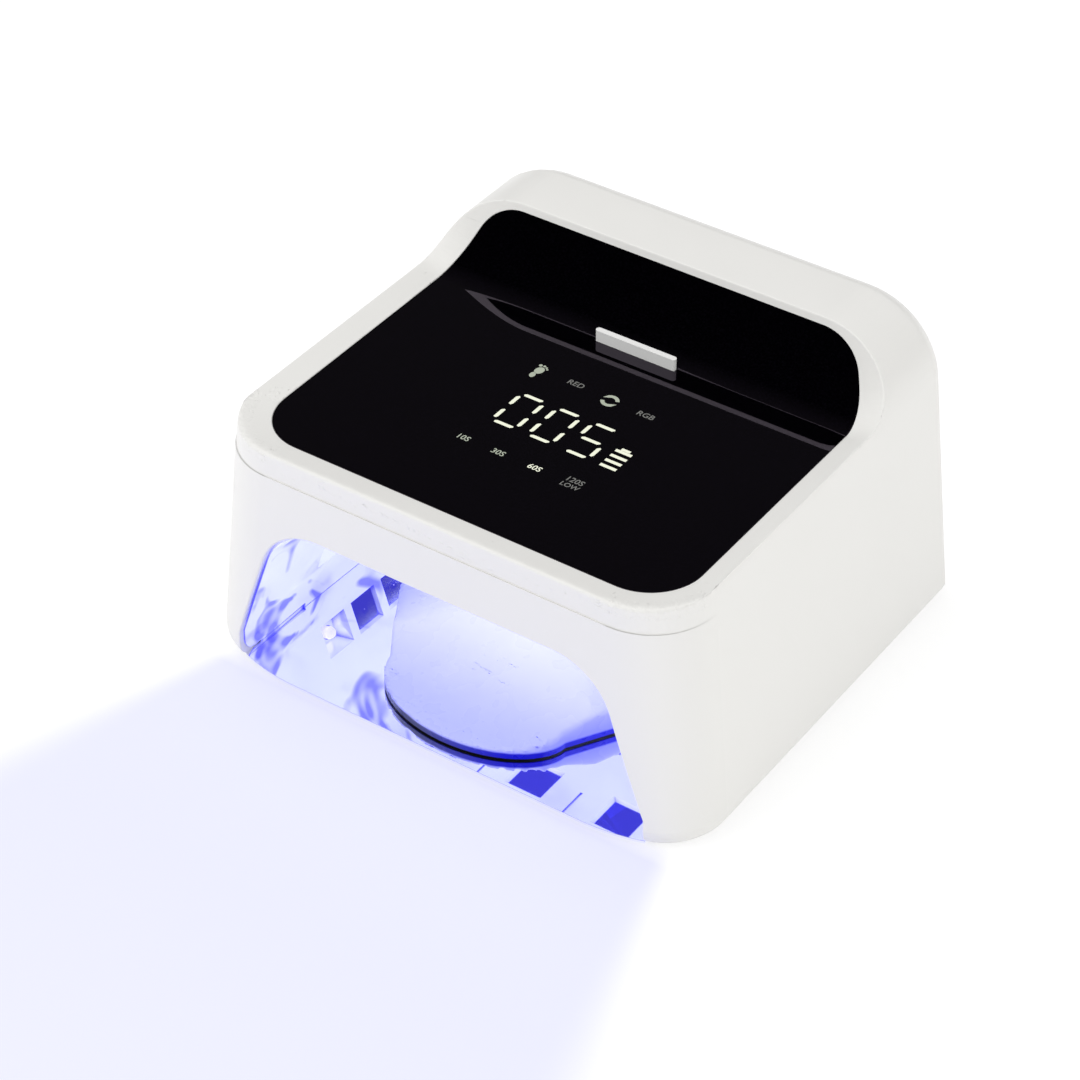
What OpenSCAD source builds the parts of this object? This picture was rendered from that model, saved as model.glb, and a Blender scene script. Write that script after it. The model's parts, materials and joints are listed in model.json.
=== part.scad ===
// LED nail lamp: a cordless table lamp with a touch panel, a phone stop, a mirror tray and a hand rest.
// Millimetres, +Z up. The origin is the centre of the footprint, on the surface that the feet stand on.

/* [Housing] */
// Width of the housing where its sides would meet the bottom edge
base_w = 225.4; // [200:0.2:250]
// Depth of the housing where its front and back would meet the bottom edge
base_d = 200; // [180:0.2:220]
// Height of the hump above the bottom edge
hump_h = 134; // [125:0.5:145]
// Inward slope of the two sides, mm per mm of height
side_draft = 0.104; // [0.05:0.002:0.15]
// Inward slope of the front and the back, mm per mm of height
front_draft = 0.025; // [0:0.005:0.06]
// Plan radius of the two front corners
front_r = 27.5; // [20:0.5:40]
// Plan radius of the two rear corners at the foot
rear_r = 11; // [8:0.5:14]
// Radius of the bottom edge
foot_fillet = 9.7; // [6:0.1:12]
// Wall thickness of the housing
wall = 2.6; // [1.8:0.1:4]
// Radius of the hump's two long shoulders
hump_r = 34.5; // [24:0.5:44]
// Radius of the rear edge, up the sides and over the top
rear_edge = 16.6; // [14:0.2:20]
// Height of the fine step round the front
crease_z = 96.5; // [85:0.5:100]
// How far the part below the step stands proud
crease_step = 0.5; // [0.2:0.1:1]

/* [Deck and rim] */
// Height of the flat black panel above the bottom edge
panel_z = 104.1; // [98:0.1:110]
// Width of the white rim beside the panel
rim_side = 9.87; // [7:0.01:16]
// Plan radius of the panel's front corners
panel_r = 22; // [12:0.5:30]
// Width of the white rim in front of the panel
rim_front = 14.96; // [10:0.1:20]
// Rise of the rim from the panel to the outer edge
rim_rise = 3.1; // [1:0.1:5]
// How far the rim's crest lies behind its lip on the backrest
crest_shift = 1; // [0.2:0.1:3]
// Distance from the rear edge to where the flat panel starts to sweep up
sweep_room = 66.6; // [60:0.2:80]
// Radius at the foot of the sweep
sweep_r = 20; // [12:0.5:30]
// Angle at which the foot radius passes into the backrest
sweep_a = 60; // [45:1:70]
// Radius of the backrest above that
back_r = 60; // [40:1:90]
// Height of the backrest's upper lip above the bottom edge
lip_z = 130.8; // [124:0.1:132]
// Inward lean of the backrest's side lips
lip_lean = 24; // [10:1:35]
// Radius of the backrest's upper corners
lip_r = 20; // [10:0.5:28]
// Thickness of the deck under the panel
deck_t = 2.4; // [1.6:0.1:4]

/* [Touch panel and stop] */
// Thickness of the touch panel
panel_t = 2.4; // [1.5:0.1:3]
// Gap round the edge of the panel
panel_gap = 0.15; // [0.05:0.05:0.3]
// Length of the phone stop
stop_l = 36; // [24:1:60]
// Thickness of the phone stop
stop_t = 2.5; // [2:0.1:5]
// Height of the phone stop above the panel
stop_h = 4.8; // [3:0.1:9]
// Distance of the phone stop's front face behind the centre
stop_y = 33.5; // [30:0.1:36]
// Diameter of the stop's two pegs
peg_d = 1.8; // [1.2:0.1:2]

/* [Display and touch board] */
// Width of the window under the display and the keys
window_w = 84; // [76:1:100]
// Depth of that window
window_d = 66; // [62:1:80]
// Distance of the window's middle in front of the centre
window_y = 20.8; // [15:0.2:25]
// Pitch of the four touch keys in a row
key_pitch = 16.1; // [12:0.1:19]
// Distance between the two rows of keys
key_rows = 50; // [46:0.5:54]
// Outer diameter of a touch spring
spring_d = 5; // [4:0.1:6]
// Length of the display block
display_l = 70; // [60:1:74]
// Width of the display block
display_w = 26; // [20:0.5:32]
// Room between the deck and the touch board
touch_drop = 2; // [1:0.1:4]
// Thickness of every circuit board
board_t = 1.6; // [1:0.2:2]

/* [Mouth and reflector] */
// Width of the housing's front beside the mouth, at the table
mouth_side = 20.7; // [18:0.1:30]
// Height of the mouth above the bottom edge
mouth_top = 75.2; // [68:0.2:80]
// Height of the upright part of the mouth's sides
mouth_kink = 14; // [8:0.5:20]
// Inward lean of the mouth's sides above that
mouth_lean = 18.9; // [10:0.1:25]
// Radius of the mouth's upper corners
mouth_r = 27; // [18:0.5:32]
// Thickness of the reflector
liner_t = 1.6; // [1:0.1:2.4]
// Height of the reflector's ceiling above the bottom edge
ceiling_z = 66; // [62:0.5:68]
// Depth of the flare between the mouth and the flat ceiling
flare_d = 36; // [25:1:40]
// Room between the reflector's back wall and the housing's back
back_room = 28; // [26:0.5:40]
// How much narrower the reflector is at the back, each side
liner_taper = 5.6; // [0:0.2:8]
// Gap between the reflector and the housing's front wall
liner_gap = 0.2; // [0.1:0.05:0.5]

/* [Light cells] */
// Distance from the outer columns of ceiling cells to the reflector's back corners
cell_side = 45; // [44:0.5:50]
// Distance from the back row of ceiling cells to the reflector's back wall
cell_back = 23; // [22:0.5:28]
// Side of a light cell's mouth in the ceiling
cell_s = 18; // [14:0.5:22]
// Depth of a light cell
cell_h = 6.6; // [4:0.2:8]
// Side of a light cell's floor
cell_floor = 8.4; // [8:0.2:10]
// Distance of the middle row of cells behind the ceiling's middle
cell_shift = 4; // [0:0.5:6]
// Side of a light cell's mouth in the walls
side_s = 15; // [12:0.5:16]
// Pitch of the cells in the side walls
side_pitch = 19; // [17.5:0.5:21]
// Height of the side cells above the bottom edge
side_z = 24; // [22:0.5:26]
// Pitch of the cells in the back wall
rear_pitch = 34; // [26:1:38]
// Height of the back wall's cells above the bottom edge
rear_z = 26; // [20:0.5:28]
// Diameter of an LED
led_d = 5.4; // [4:0.1:6]
// Clearance round each LED
led_gap = 0.3; // [0.2:0.05:0.5]
// Length of the vent slot in front of each ceiling cell
slot_l = 12.4; // [8:0.2:16]
// Width of the vent slot
slot_w = 1.2; // [0.8:0.1:3]
// Distance of the vent slot in front of its cell
slot_room = 5.4; // [3:0.1:8]
// Length of the short grooves between the cells
groove_l = 14; // [8:0.5:30]
// Width and depth of those grooves
groove_w = 1; // [0.6:0.1:1.2]
// Diameter of the hand sensor
sensor_d = 5; // [4:0.1:6]

/* [Base, tray and feet] */
// Thickness of the mirror tray
tray_t = 1.2; // [0.8:0.1:1.4]
// Thickness of the runner under the tray's edges
runner_t = 0.8; // [0.8:0.1:1]
// Gap between the tray and what guides it, above and below
tray_gap = 0.1; // [0.05:0.05:0.3]
// Gap at each side of the tray
tray_side = 0.1; // [0.05:0.05:0.3]
// Width of the runner under the tray's edges
runner_w = 5.8; // [3:0.2:7]
// Distance from the tray's rear edge to the housing's back
tray_room = 34; // [32:0.5:50]
// How far forward the tray's corners are swept back
tray_sweep = 4.3; // [3:0.1:6]
// Straight part of the tray's front edge, each side of the middle
tray_straight = 66; // [40:1:75]
// Gap between the base frame and the housing
frame_gap = 0.25; // [0.1:0.05:0.5]
// Diameter of the rubber feet
foot_d = 7.2; // [5:0.1:7.6]
// How far the feet stand proud
foot_proud = 1; // [0.6:0.1:2]
// Depth of the feet's recesses
foot_sink = 0.8; // [0.5:0.1:1]
// Length of a magnet
magnet_l = 14; // [8:1:20]
// Width of a magnet
magnet_w = 4; // [3:0.2:5]

/* [Hand rest] */
// Distance of the rest's nose behind the housing's front
nose_in = 5.5; // [4:0.5:12]
// Distance of the rest's back edge behind the centre
rest_back = 4; // [0:1:20]
// Half width of the rest at its front corners
rest_corner = 40.5; // [34:0.5:46]
// Distance of the front corners behind the nose
corner_in = 25; // [20:0.5:30]
// Widening of the sides towards the back, mm per mm
rest_spread = 0.47; // [0.2:0.01:0.5]
// Height of the rest's nose above the gasket
rest_low = 3.4; // [2.5:0.1:6]
// Height of the rest's crest above the gasket
rest_high = 18.4; // [12:0.2:22]
// Distance of the crest behind the nose
crest_in = 62.5; // [50:0.5:70]
// Wall of the rest
rest_wall = 2.4; // [1.6:0.1:3]
// Thickness of the black gasket under the rest
gasket_t = 1; // [0.6:0.1:2]
// Width of the gasket's ring
gasket_w = 3; // [2:0.1:5]

/* [Power button and inlet] */
// Diameter of the power button
button_d = 11.8; // [9:0.1:12]
// Radial running clearance of the button and its plunger
run_gap = 0.1; // [0.05:0.01:0.1]
// How far the button is pressed
button_travel = 1.2; // [0.6:0.1:1.6]
// Height of the button and the inlet above the bottom edge
io_z = 52; // [48:0.5:55]
// Distance of the button and of the inlet from the middle
io_x = 24; // [18:0.5:30]
// Depth of the round dish round the button at its middle
dish_h = 0.8; // [0.4:0.1:1.2]
// How far the button stands out of the dish
button_out = 0.7; // [0.3:0.1:1]
// Diameter of the plunger behind the button
plunger_d = 3.4; // [2.5:0.1:4]
// Diameter of the inlet's socket
jack_d = 5.7; // [5:0.1:6.5]
// Diameter of the inlet's centre pin
pin_d = 2.1; // [1.6:0.1:2.6]

/* [Battery and screws] */
// Diameter of a battery cell
cell_d = 18.3; // [14:0.1:18.4]
// Length of a battery cell
cell_l = 65; // [50:0.5:67]
// Thread diameter of the small board screws
screw_d = 2; // [1.6:0.1:2.4]
// Thread diameter of the housing screws
base_screw_d = 3; // [2.5:0.1:3.2]
// Clearance round a screw in its hole
screw_gap = 0.05; // [0.02:0.01:0.1]

/* [Hidden] */
$fn = 64;

side_n = sqrt(1 + side_draft * side_draft);
front_n = sqrt(1 + front_draft * front_draft);
function half_w(z) = base_w / 2 - side_draft * z;
function half_d(z) = base_d / 2 - front_draft * z;
panel_w = 2 * (half_w(panel_z) - rim_side);
mouth_w = base_w - 2 * mouth_side;
liner_back = base_d / 2 - back_room;
sweep_y = base_d / 2 - sweep_room;
tray_back = base_d / 2 - tray_room;
rest_nose = base_d / 2 - nose_in;
rest_corner_y = rest_nose - corner_in;
rest_crest_y = rest_nose - crest_in;
function arc(cx, cy, r, a0, a1, n) = [for (i = [0:n]) let (a = a0 + (a1 - a0) * i / n)
    [cx + r * cos(a), cy + r * sin(a)]];

// plan outline at height z, moved in by t
function plan(z, t) = let (w = half_w(z) - t, d = half_d(z) - t, f = max(front_r - t, 1), r = max(rear_r - t, 1))
    concat(arc(w - r, d - r, r, 0, 90, 8), arc(r - w, d - r, r, 90, 180, 8),
        arc(f - w, f - d, f, 180, 270, 12), arc(w - f, f - d, f, 270, 360, 12));

module slab(z, t) translate([0, 0, z]) linear_extrude(0.01) polygon(plan(z, t));

// drafted body with its rounded bottom edge, moved in by t
module body_form(t) hull() {
    for (i = [0:5]) slab(foot_fillet - (foot_fillet - t) * cos(i * 18), foot_fillet - (foot_fillet - t) * sin(i * 18));
    slab(hump_h + 1, t);
}

// inside of the drafted body, open at the bottom
bottom_edge = foot_fillet + wall - 0.2;
module cavity_form() {
    hull() {
        slab(0, bottom_edge);
        for (i = [1:5])
            slab(foot_fillet - (foot_fillet - wall) * cos(i * 18), foot_fillet - (foot_fillet - wall) * sin(i * 18));
        slab(hump_h + 1, wall);
    }
    translate([0, 0, -2]) linear_extrude(2.5) polygon(plan(0, bottom_edge));
}

// solid from a shape drawn in X and Z, along Y
module along_y(l) rotate([90, 0, 0]) linear_extrude(l, center = true) children();
// solid from a shape drawn in Y and Z, along X
module along_x(l) rotate([90, 0, 90]) linear_extrude(l, center = true) children();

hump_cz = hump_h - hump_r;
hump_cx = base_w / 2 - side_draft * hump_cz - hump_r * side_n;
// the hump as seen from the front, moved in by t
module loaf(t) {
    r = hump_r - t;
    x0 = half_w(-5) - t * side_n;
    tx = hump_cx + r / side_n;
    tz = hump_cz + r * side_draft / side_n;
    along_y(300) polygon([[-x0, -5], [x0, -5], [tx, tz], [hump_cx, hump_h - t], [-hump_cx, hump_h - t], [-tx, tz]]);
    for (s = [-1, 1]) along_y(300) translate([s * hump_cx, hump_cz]) circle(r);
}

function loaf_pts(t) = let (r = hump_r - t, x0 = half_w(-5) - t * side_n,
    half = concat([[x0, -5]], arc(hump_cx, hump_cz, r, atan(side_draft), 90, 12)))
    concat(half, [for (i = [len(half) - 1:-1:0]) [-half[i][0], half[i][1]]]);

// the hump with its rear edge rounded all along the outline, moved in by t
module crown(t) {
    r = rear_edge - t;
    place = base_d / 2 - t * front_n - r + 0.3;
    rings = concat([[t - 0.4, -150]], [for (i = [0:8]) [t - 0.4 + r * (1 - cos(11.25 * i)), place + r * sin(11.25 * i)]]);
    outline = [for (g = rings) loaf_pts(g[0])];
    n = len(outline[0]);
    last = len(rings) - 1;
    polyhedron(points = [for (i = [0:last]) for (p = outline[i]) [p[0], rings[i][1] - front_draft * p[1], p[1]]],
        faces = concat([[for (j = [0:n - 1]) n - 1 - j]], [[for (j = [0:n - 1]) last * n + j]],
            [for (i = [0:last - 1]) for (j = [0:n - 1]) for (k = [0, 1]) let (a = i * n + j, b = i * n + (j + 1) % n)
                k == 0 ? [a, b + n, a + n] : [a, b, b + n]]));
}

// the air over the panel and in front of the backrest, grown by t, up to height top
module air(t, top, dy = 0, dz = 0) {
    c1 = [sweep_y, panel_z + sweep_r];
    e1 = c1 + (sweep_r + t) * [sin(sweep_a), -cos(sweep_a)];
    c2 = c1 + (back_r - sweep_r) * [-sin(sweep_a), cos(sweep_a)];
    zt = min(top - dz, c2[1]);
    e2 = [c2[0] + sqrt(pow(back_r + t, 2) - pow(c2[1] - zt, 2)), zt];
    translate([0, dy, dz]) {
        along_x(300) polygon([[-150, panel_z - t], [sweep_y, panel_z - t], e1, e2, [-150, zt]]);
        intersection() {
            along_x(300) translate(c1) circle(sweep_r + t);
            along_x(299) polygon([[sweep_y - 5, panel_z - t - 1], [80, panel_z - t - 1], [80, e1[1]], e1, [sweep_y - 5, e1[1]]]);
        }
        intersection() {
            along_x(300) translate(c2) circle(back_r + t, $fn = 128);
            along_x(299) polygon([e1 - [3, 0], [90, e1[1]], [90, zt], [e1[0] - 3, zt]]);
        }
    }
}

// the same region in flat strips, for the underside of the deck
function under_deck(t) = let (c1 = [sweep_y, panel_z + sweep_r],
    c2 = c1 + (back_r - sweep_r) * [-sin(sweep_a), cos(sweep_a)])
    concat([[-150, 150], [-150, panel_z - t]], arc(c1[0], c1[1], sweep_r + t, -90, sweep_a - 90, 9),
        arc(c2[0], c2[1], back_r + t, sweep_a - 88, 0, 8), [[c2[0] + back_r + t, 150]]);

panel_front = base_d / 2 - rim_front;
lip_cz = lip_z - lip_r;
lip_cx = panel_w / 2 - (lip_r - (panel_z - lip_cz) * sin(lip_lean)) / cos(lip_lean);
// outline of the lip: its plan and its front view, moved in by t
module lip_outline(t) intersection() {
    union() {
        tx = lip_cx + (lip_r - t) * cos(lip_lean);
        tz = lip_cz + (lip_r - t) * sin(lip_lean);
        wx = panel_w / 2 - t;
        lx = panel_w / 2 - t / cos(lip_lean);
        along_y(300) polygon([[-wx, 90], [wx, 90], [wx, panel_z - 0.5], [lx, panel_z], [tx, tz], [lip_cx, lip_z - t],
            [-lip_cx, lip_z - t], [-tx, tz], [-lx, panel_z], [-wx, panel_z - 0.5]]);
        for (s = [-1, 1]) along_y(300) translate([s * lip_cx, lip_cz]) circle(lip_r - t);
    }
    translate([0, 0, 80]) linear_extrude(60) union() {
        w = panel_w / 2 - t;
        f = panel_front - t;
        r = panel_r - t;
        polygon([[-w, 90], [-w, r - f], [r - w, -f], [w - r, -f], [w, r - f], [w, 90]]);
        for (s = [-1, 1]) translate([s * (w - r), r - f]) circle(r);
    }
}

// everything above the sloped rim
module rim_air() hull() {
    intersection() {
        lip_outline(0);
        air(0, lip_z);
    }
    intersection() {
        body_form(-0.3);
        loaf(-0.3);
        air(0, hump_h + 0.25, crest_shift, rim_rise);
    }
}

// outline of the mouth: half width w at the table, top at z, grown by t
function mouth_c(w, z) = let (cz = z - mouth_r)
    [w - (mouth_r - (mouth_kink - cz) * sin(mouth_lean)) / cos(mouth_lean), cz];
function mouth_pts(w, z, t, zb) = let (c = mouth_c(w, z), half = concat([[w + t, zb],
    [w + t, mouth_kink + t * tan(mouth_lean / 2)]], arc(c[0], c[1], mouth_r + t, mouth_lean, 90, 10)))
    concat(half, [for (i = [len(half) - 1:-1:0]) [-half[i][0], half[i][1]]]);
module mouth(w, z, zb, l) {
    c = mouth_c(w, z);
    tx = c[0] + mouth_r * cos(mouth_lean);
    tz = c[1] + mouth_r * sin(mouth_lean);
    along_y(l) polygon([[-w, zb], [w, zb], [w, mouth_kink], [tx, tz], [c[0], z], [-c[0], z], [-tx, tz], [-w, mouth_kink]]);
    for (s = [-1, 1]) along_y(l) translate([s * c[0], c[1]]) circle(mouth_r);
}

module lift() translate([0, 0, foot_proud]) children();

// heights in the stack, from the bottom edge up
tray_z0 = runner_t + tray_gap;
tray_z1 = tray_z0 + tray_t;
frame_t = tray_z1 + tray_gap;
flange_z = frame_t + liner_t;
liner_top = ceiling_z + liner_t;
cup_top = ceiling_z + cell_h + liner_t;
led_board_top = cup_top + board_t;
post_top = led_board_top + 4.2;
deck_under = panel_z - panel_t - deck_t;
touch_z = deck_under - touch_drop - board_t;
frame_in = bottom_edge + frame_gap;
frame_w = half_w(0) - frame_in;
frame_d = half_d(0) - frame_in;

// places of the screws and posts
boss_x = frame_w - 3.3;
boss_y = [30 - base_d / 2, base_d / 2 - 38];
rear_boss = [40, frame_d - 4.6];
boss_d = 6.4;
foot_at = [[boss_x - 0.6, 48 - base_d / 2], [boss_x - 0.6, base_d / 2 - 58], [70, frame_d - 5]];
rear_boss_h = 12;
touch_post = [window_w / 2 + 4.5, window_d / 2 + 4.5];
liner_w0 = mouth_w / 2 - 0.4;
liner_w1 = liner_w0 - liner_taper;
flare_y = -base_d / 2 + flare_d;
cell_y = (flare_y + liner_back) / 2 + cell_shift;
pitch_x = liner_w1 - cell_side;
pitch_y = liner_back - cell_y - cell_back;
led_post = [pitch_x / 2, pitch_y / 2];
main_post = [liner_w1 - 11, 30];
main_y = sweep_y - 53.4;
holder_w = 2 * cell_l + 12;
holder_d = 2 * cell_d + 5;
holder_y = sweep_y + 16.1;
holder_post = [cell_l - 5, holder_d / 2 + 4];
io_post = [io_x + 15, 6];
rear_wall = half_d(io_z);
rear_in = rear_wall - wall * front_n;
io_y = rear_in - 16.1;
dish_y = rear_wall - dish_h;
sleeve_in = rear_in - 4;
flange_y = sleeve_in - 0.3;

module bosses() {
    for (s = [-1, 1]) {
        for (y = boss_y) {
            translate([s * boss_x, y, flange_z]) cylinder(d = boss_d, h = deck_under + 1 - flange_z);
            translate([0, y, 0]) rotate([90, 0, 0]) linear_extrude(1.6, center = true) polygon([[s * boss_x, 16],
                [s * (half_w(16) - 1), 16], [s * (half_w(95) - 1), 95], [s * boss_x, 95]]);
        }
        translate([s * rear_boss[0], rear_boss[1], flange_z]) cylinder(d = boss_d, h = rear_boss_h);
        translate([s * rear_boss[0], 0, 0]) along_x(1.6) polygon([[rear_boss[1], flange_z + 4],
            [half_d(12) - 1, flange_z + 4], [half_d(12) - 1, flange_z + rear_boss_h], [rear_boss[1], flange_z + rear_boss_h]]);
        for (k = [-1, 1]) translate([s * touch_post[0], -window_y + k * touch_post[1], deck_under - touch_drop])
            cylinder(d = 6, h = touch_drop + 1);
    }
    translate([io_x, rear_in + 1, io_z]) rotate([90, 0, 0]) cylinder(d = button_d + 4.4, h = rear_in + 1 - sleeve_in);
}

module housing() lift() color("#e8e7e4") difference() {
    union() {
        difference() {
            intersection() {
                union() {
                    intersection() {
                        body_form(0);
                        translate([-150, -150, -1]) cube([300, 300, crease_z + 1]);
                    }
                    intersection() {
                        translate([0, crease_step, 0]) body_form(0);
                        translate([-150, -150, crease_z - 1]) cube([300, 300, 60]);
                        along_x(300) polygon([[-150, 0], [half_d(0), 0], [half_d(150), 150], [-150, 150]]);
                    }
                }
                loaf(0);
                crown(0);
            }
            difference() {
                intersection() {
                    cavity_form();
                    loaf(wall);
                    crown(wall);
                }
                along_x(300) polygon(under_deck(panel_t + deck_t));
            }
        }
        bosses();
    }
    rim_air();
    intersection() {
        lip_outline(0);
        air(panel_t, lip_z - 0.01);
    }
    translate([0, -window_y, deck_under - 2]) linear_extrude(8) square([window_w, window_d], center = true);
    for (s = [-1, 1]) translate([s * stop_l / 3, stop_y + stop_t / 2, deck_under + 0.4])
        cylinder(d = peg_d + 2 * screw_gap, h = 4);
    translate([0, -base_d / 2, 0]) mouth(mouth_w / 2, mouth_top, -3, 60);
    for (s = [-1, 1]) {
        for (y = boss_y) translate([s * boss_x, y, flange_z - 1]) cylinder(d = base_screw_d + 2 * screw_gap, h = 10);
        translate([s * rear_boss[0], rear_boss[1], flange_z - 1]) cylinder(d = base_screw_d + 2 * screw_gap, h = 10);
        for (k = [-1, 1]) translate([s * touch_post[0], -window_y + k * touch_post[1], touch_z])
            cylinder(d = screw_d + 2 * screw_gap, h = touch_drop + board_t + deck_t - 0.6);
    }
    translate([io_x, base_d / 2, io_z]) rotate([90, 0, 0]) cylinder(d = button_d + 2 * run_gap, h = 30);
    translate([io_x, base_d / 2 + 2, io_z]) rotate([90, 0, 0]) cylinder(d = button_d + 6, h = base_d / 2 + 2 - dish_y);
    translate([-io_x, base_d / 2, io_z]) rotate([90, 0, 0]) cylinder(d = jack_d + 3.4, h = 30);
    translate([-io_x, base_d / 2 + 2, io_z]) rotate([90, 0, 0]) cylinder(d = button_d + 6, h = base_d / 2 + 2 - dish_y);
}

module touch_panel() lift() color("#141317") difference() {
    intersection() {
        lip_outline(panel_gap);
        air(panel_t, lip_z);
    }
    air(0, 150);
    translate([0, stop_y + stop_t / 2, panel_z - panel_t - 1]) linear_extrude(8)
        square([stop_l + 2 * panel_gap, stop_t + 2 * panel_gap], center = true);
}

module phone_stop() lift() color("#f3f2ee") {
    intersection() {
        translate([0, stop_y + stop_t / 2, panel_z - panel_t - 1]) linear_extrude(panel_t + stop_h + 1) union() {
            square([stop_l - stop_t, stop_t], center = true);
            for (s = [-1, 1]) translate([s * (stop_l - stop_t) / 2, 0]) circle(d = stop_t);
        }
        air(panel_t, 150);
    }
    for (s = [-1, 1]) translate([s * stop_l / 3, stop_y + stop_t / 2, deck_under + 0.7]) cylinder(d = peg_d, h = deck_t);
}

module touch_board() lift() color("#1f6b45") translate([0, -window_y, touch_z]) difference() {
    linear_extrude(board_t) square([2 * touch_post[0] + 8, 2 * touch_post[1] + 8], center = true);
    for (s = [-1, 1]) for (k = [-1, 1]) translate([s * touch_post[0], k * touch_post[1], -1])
        cylinder(d = screw_d + 0.4, h = 5);
}

module display_module() lift() color("#e9e4d8") translate([2, -window_y, touch_z + board_t]) {
    linear_extrude(panel_z - panel_t - touch_z - board_t) square([display_l, display_w], center = true);
}

module touch_springs() lift() color("#b9bcc0") for (i = [-1.5:1:1.5]) for (k = [-1, 1])
    translate([i * key_pitch, -window_y + k * key_rows / 2, touch_z + board_t]) difference() {
        cylinder(d = spring_d, h = panel_z - panel_t - touch_z - board_t);
        translate([0, 0, -1]) cylinder(d = spring_d - 1.4, h = 20);
    }

module small_screw(grip, d = screw_d, head = 1.2) {
    cylinder(d = 2 * d, h = head);
    translate([0, 0, -grip]) cylinder(d = d, h = grip + 0.2);
}

module touch_board_screws() lift() color("#8a8d92") for (s = [-1, 1]) for (k = [-1, 1])
    translate([s * touch_post[0], -window_y + k * touch_post[1], touch_z]) rotate([180, 0, 0])
        small_screw(board_t + touch_drop + deck_t - 1.2);

// the reflector's walls as solids: outer form with t = liner_t, inner form with t = 0
module liner_slice(y, w, z, t) translate([0, y, 0]) along_y(0.02) polygon(mouth_pts(w, z, t, flange_z - liner_t - t * 0));
module liner_form(t, over) {
    wf = liner_w0 - liner_taper * flare_d / (liner_back + base_d / 2);
    hull() {
        liner_slice(-base_d / 2 - over, liner_w0, mouth_top, t);
        liner_slice(flare_y, wf, ceiling_z, t);
    }
    hull() {
        liner_slice(flare_y, wf, ceiling_z, t);
        liner_slice(liner_back + t, liner_w1, ceiling_z, t);
    }
}

// square cell: mouth s at height 0, floor at height h; t grows it
module cell(s, h, t) rotate([0, 0, 45]) translate([0, 0, -0.3])
    cylinder(d1 = (s + 2 * t) * sqrt(2), d2 = (cell_floor + 2 * t) * sqrt(2), h = h + 0.3 + t, $fn = 4);

module ceiling_cells() for (i = [-1:1]) for (k = [-1:1]) translate([i * pitch_x, cell_y + k * pitch_y, ceiling_z])
    children();
taper_a = atan(liner_taper / (liner_back + base_d / 2));
side_y = (flare_y + liner_back) / 2 - 12;
side_h = cell_h - 1;
side_w = liner_w0 - liner_taper * (side_y + base_d / 2) / (liner_back + base_d / 2)
    - (side_z - mouth_kink) * tan(mouth_lean);
// frame on a side wall: +Z points out of the lamp's light, along the wall's normal
module side_frame(s) translate([s * side_w, side_y, side_z]) rotate([0, 0, s * taper_a])
    rotate([0, s * (90 - mouth_lean), 0]) children();
module side_cells() for (s = [-1, 1]) side_frame(s) for (i = [-2:2]) translate([0, i * side_pitch, 0]) children();
module rear_frame() translate([0, liner_back, rear_z]) rotate([-90, 0, 0]) children();
module rear_cells() rear_frame() for (i = [-1.5:1:1.5]) translate([i * rear_pitch, 0, 0]) children();

module post(x, y, z0, z1) translate([x, y, z0]) cylinder(d = 6, h = z1 - z0);

module reflector() lift() color("#c9cede") difference() {
    union() {
        intersection() {
            liner_form(liner_t, 0);
            body_form(wall + liner_gap);
            translate([-150, -150, frame_t]) cube([300, 300, 100]);
        }
        translate([0, 0, frame_t]) linear_extrude(liner_t) polygon(plan(0, frame_in));
        ceiling_cells() cell(cell_s, cell_h, liner_t);
        side_cells() cell(side_s, side_h, liner_t);
        rear_cells() cell(side_s, cell_h, liner_t);
        for (s = [-1, 1]) {
            for (k = [-1, 1]) {
                post(s * led_post[0], cell_y + k * led_post[1], liner_top - 1, cup_top);
                post(s * main_post[0], main_y + k * main_post[1], ceiling_z - 11, post_top);
                post(s * holder_post[0], holder_y + k * holder_post[1], ceiling_z - 12, post_top);
                translate([s * io_post[0], io_y, io_z + k * io_post[1]]) rotate([90, 0, 0])
                    cylinder(d = 5, h = io_y - liner_back - liner_t + 0.6);
            }
        }
    }
    liner_form(0, 1);
    translate([-150, -150, -1]) cube([300, 300, frame_t + 1]);
    translate([0, -base_d / 2, 0]) cube([2 * liner_w0, 80, 2 * flange_z + 0.4], center = true);
    ceiling_cells() cell(cell_s, cell_h, 0);
    side_cells() cell(side_s, side_h, 0);
    rear_cells() cell(side_s, cell_h, 0);
    ceiling_cells() cylinder(d = led_d + 2 * led_gap, h = 20);
    side_cells() cylinder(d = led_d + 2 * led_gap, h = 12);
    rear_cells() cylinder(d = led_d + 2 * led_gap, h = 12);
    ceiling_cells() translate([0, -cell_s / 2 - slot_room, 0]) cube([slot_l, slot_w, 8], center = true);
    for (s = [-1, 1]) for (k = [-1:1]) translate([s * pitch_x / 2, cell_y + k * pitch_y - 4, ceiling_z])
        cube([groove_w, groove_l, 2 * groove_w], center = true);
    translate([pitch_x / 2, flare_y + 10, ceiling_z - 1]) cylinder(d = sensor_d + 2 * led_gap, h = 5);
    for (s = [-1, 1]) {
        for (y = boss_y) translate([s * boss_x, y, -1]) cylinder(d = base_screw_d + 0.4, h = 20);
        translate([s * rear_boss[0], rear_boss[1], -1]) cylinder(d = base_screw_d + 0.4, h = 20);
        for (k = [-1, 1]) {
            translate([s * led_post[0], cell_y + k * led_post[1], cup_top - 6])
                cylinder(d = screw_d + 2 * screw_gap, h = 10);
            translate([s * main_post[0], main_y + k * main_post[1], post_top - 7])
                cylinder(d = screw_d + 2 * screw_gap, h = 10);
            translate([s * holder_post[0], holder_y + k * holder_post[1], post_top - 7])
                cylinder(d = screw_d + 2 * screw_gap, h = 10);
            translate([s * io_post[0], io_y + 1, io_z + k * io_post[1]]) rotate([90, 0, 0])
                cylinder(d = screw_d + 2 * screw_gap, h = 6.2);
        }
    }
}

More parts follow.
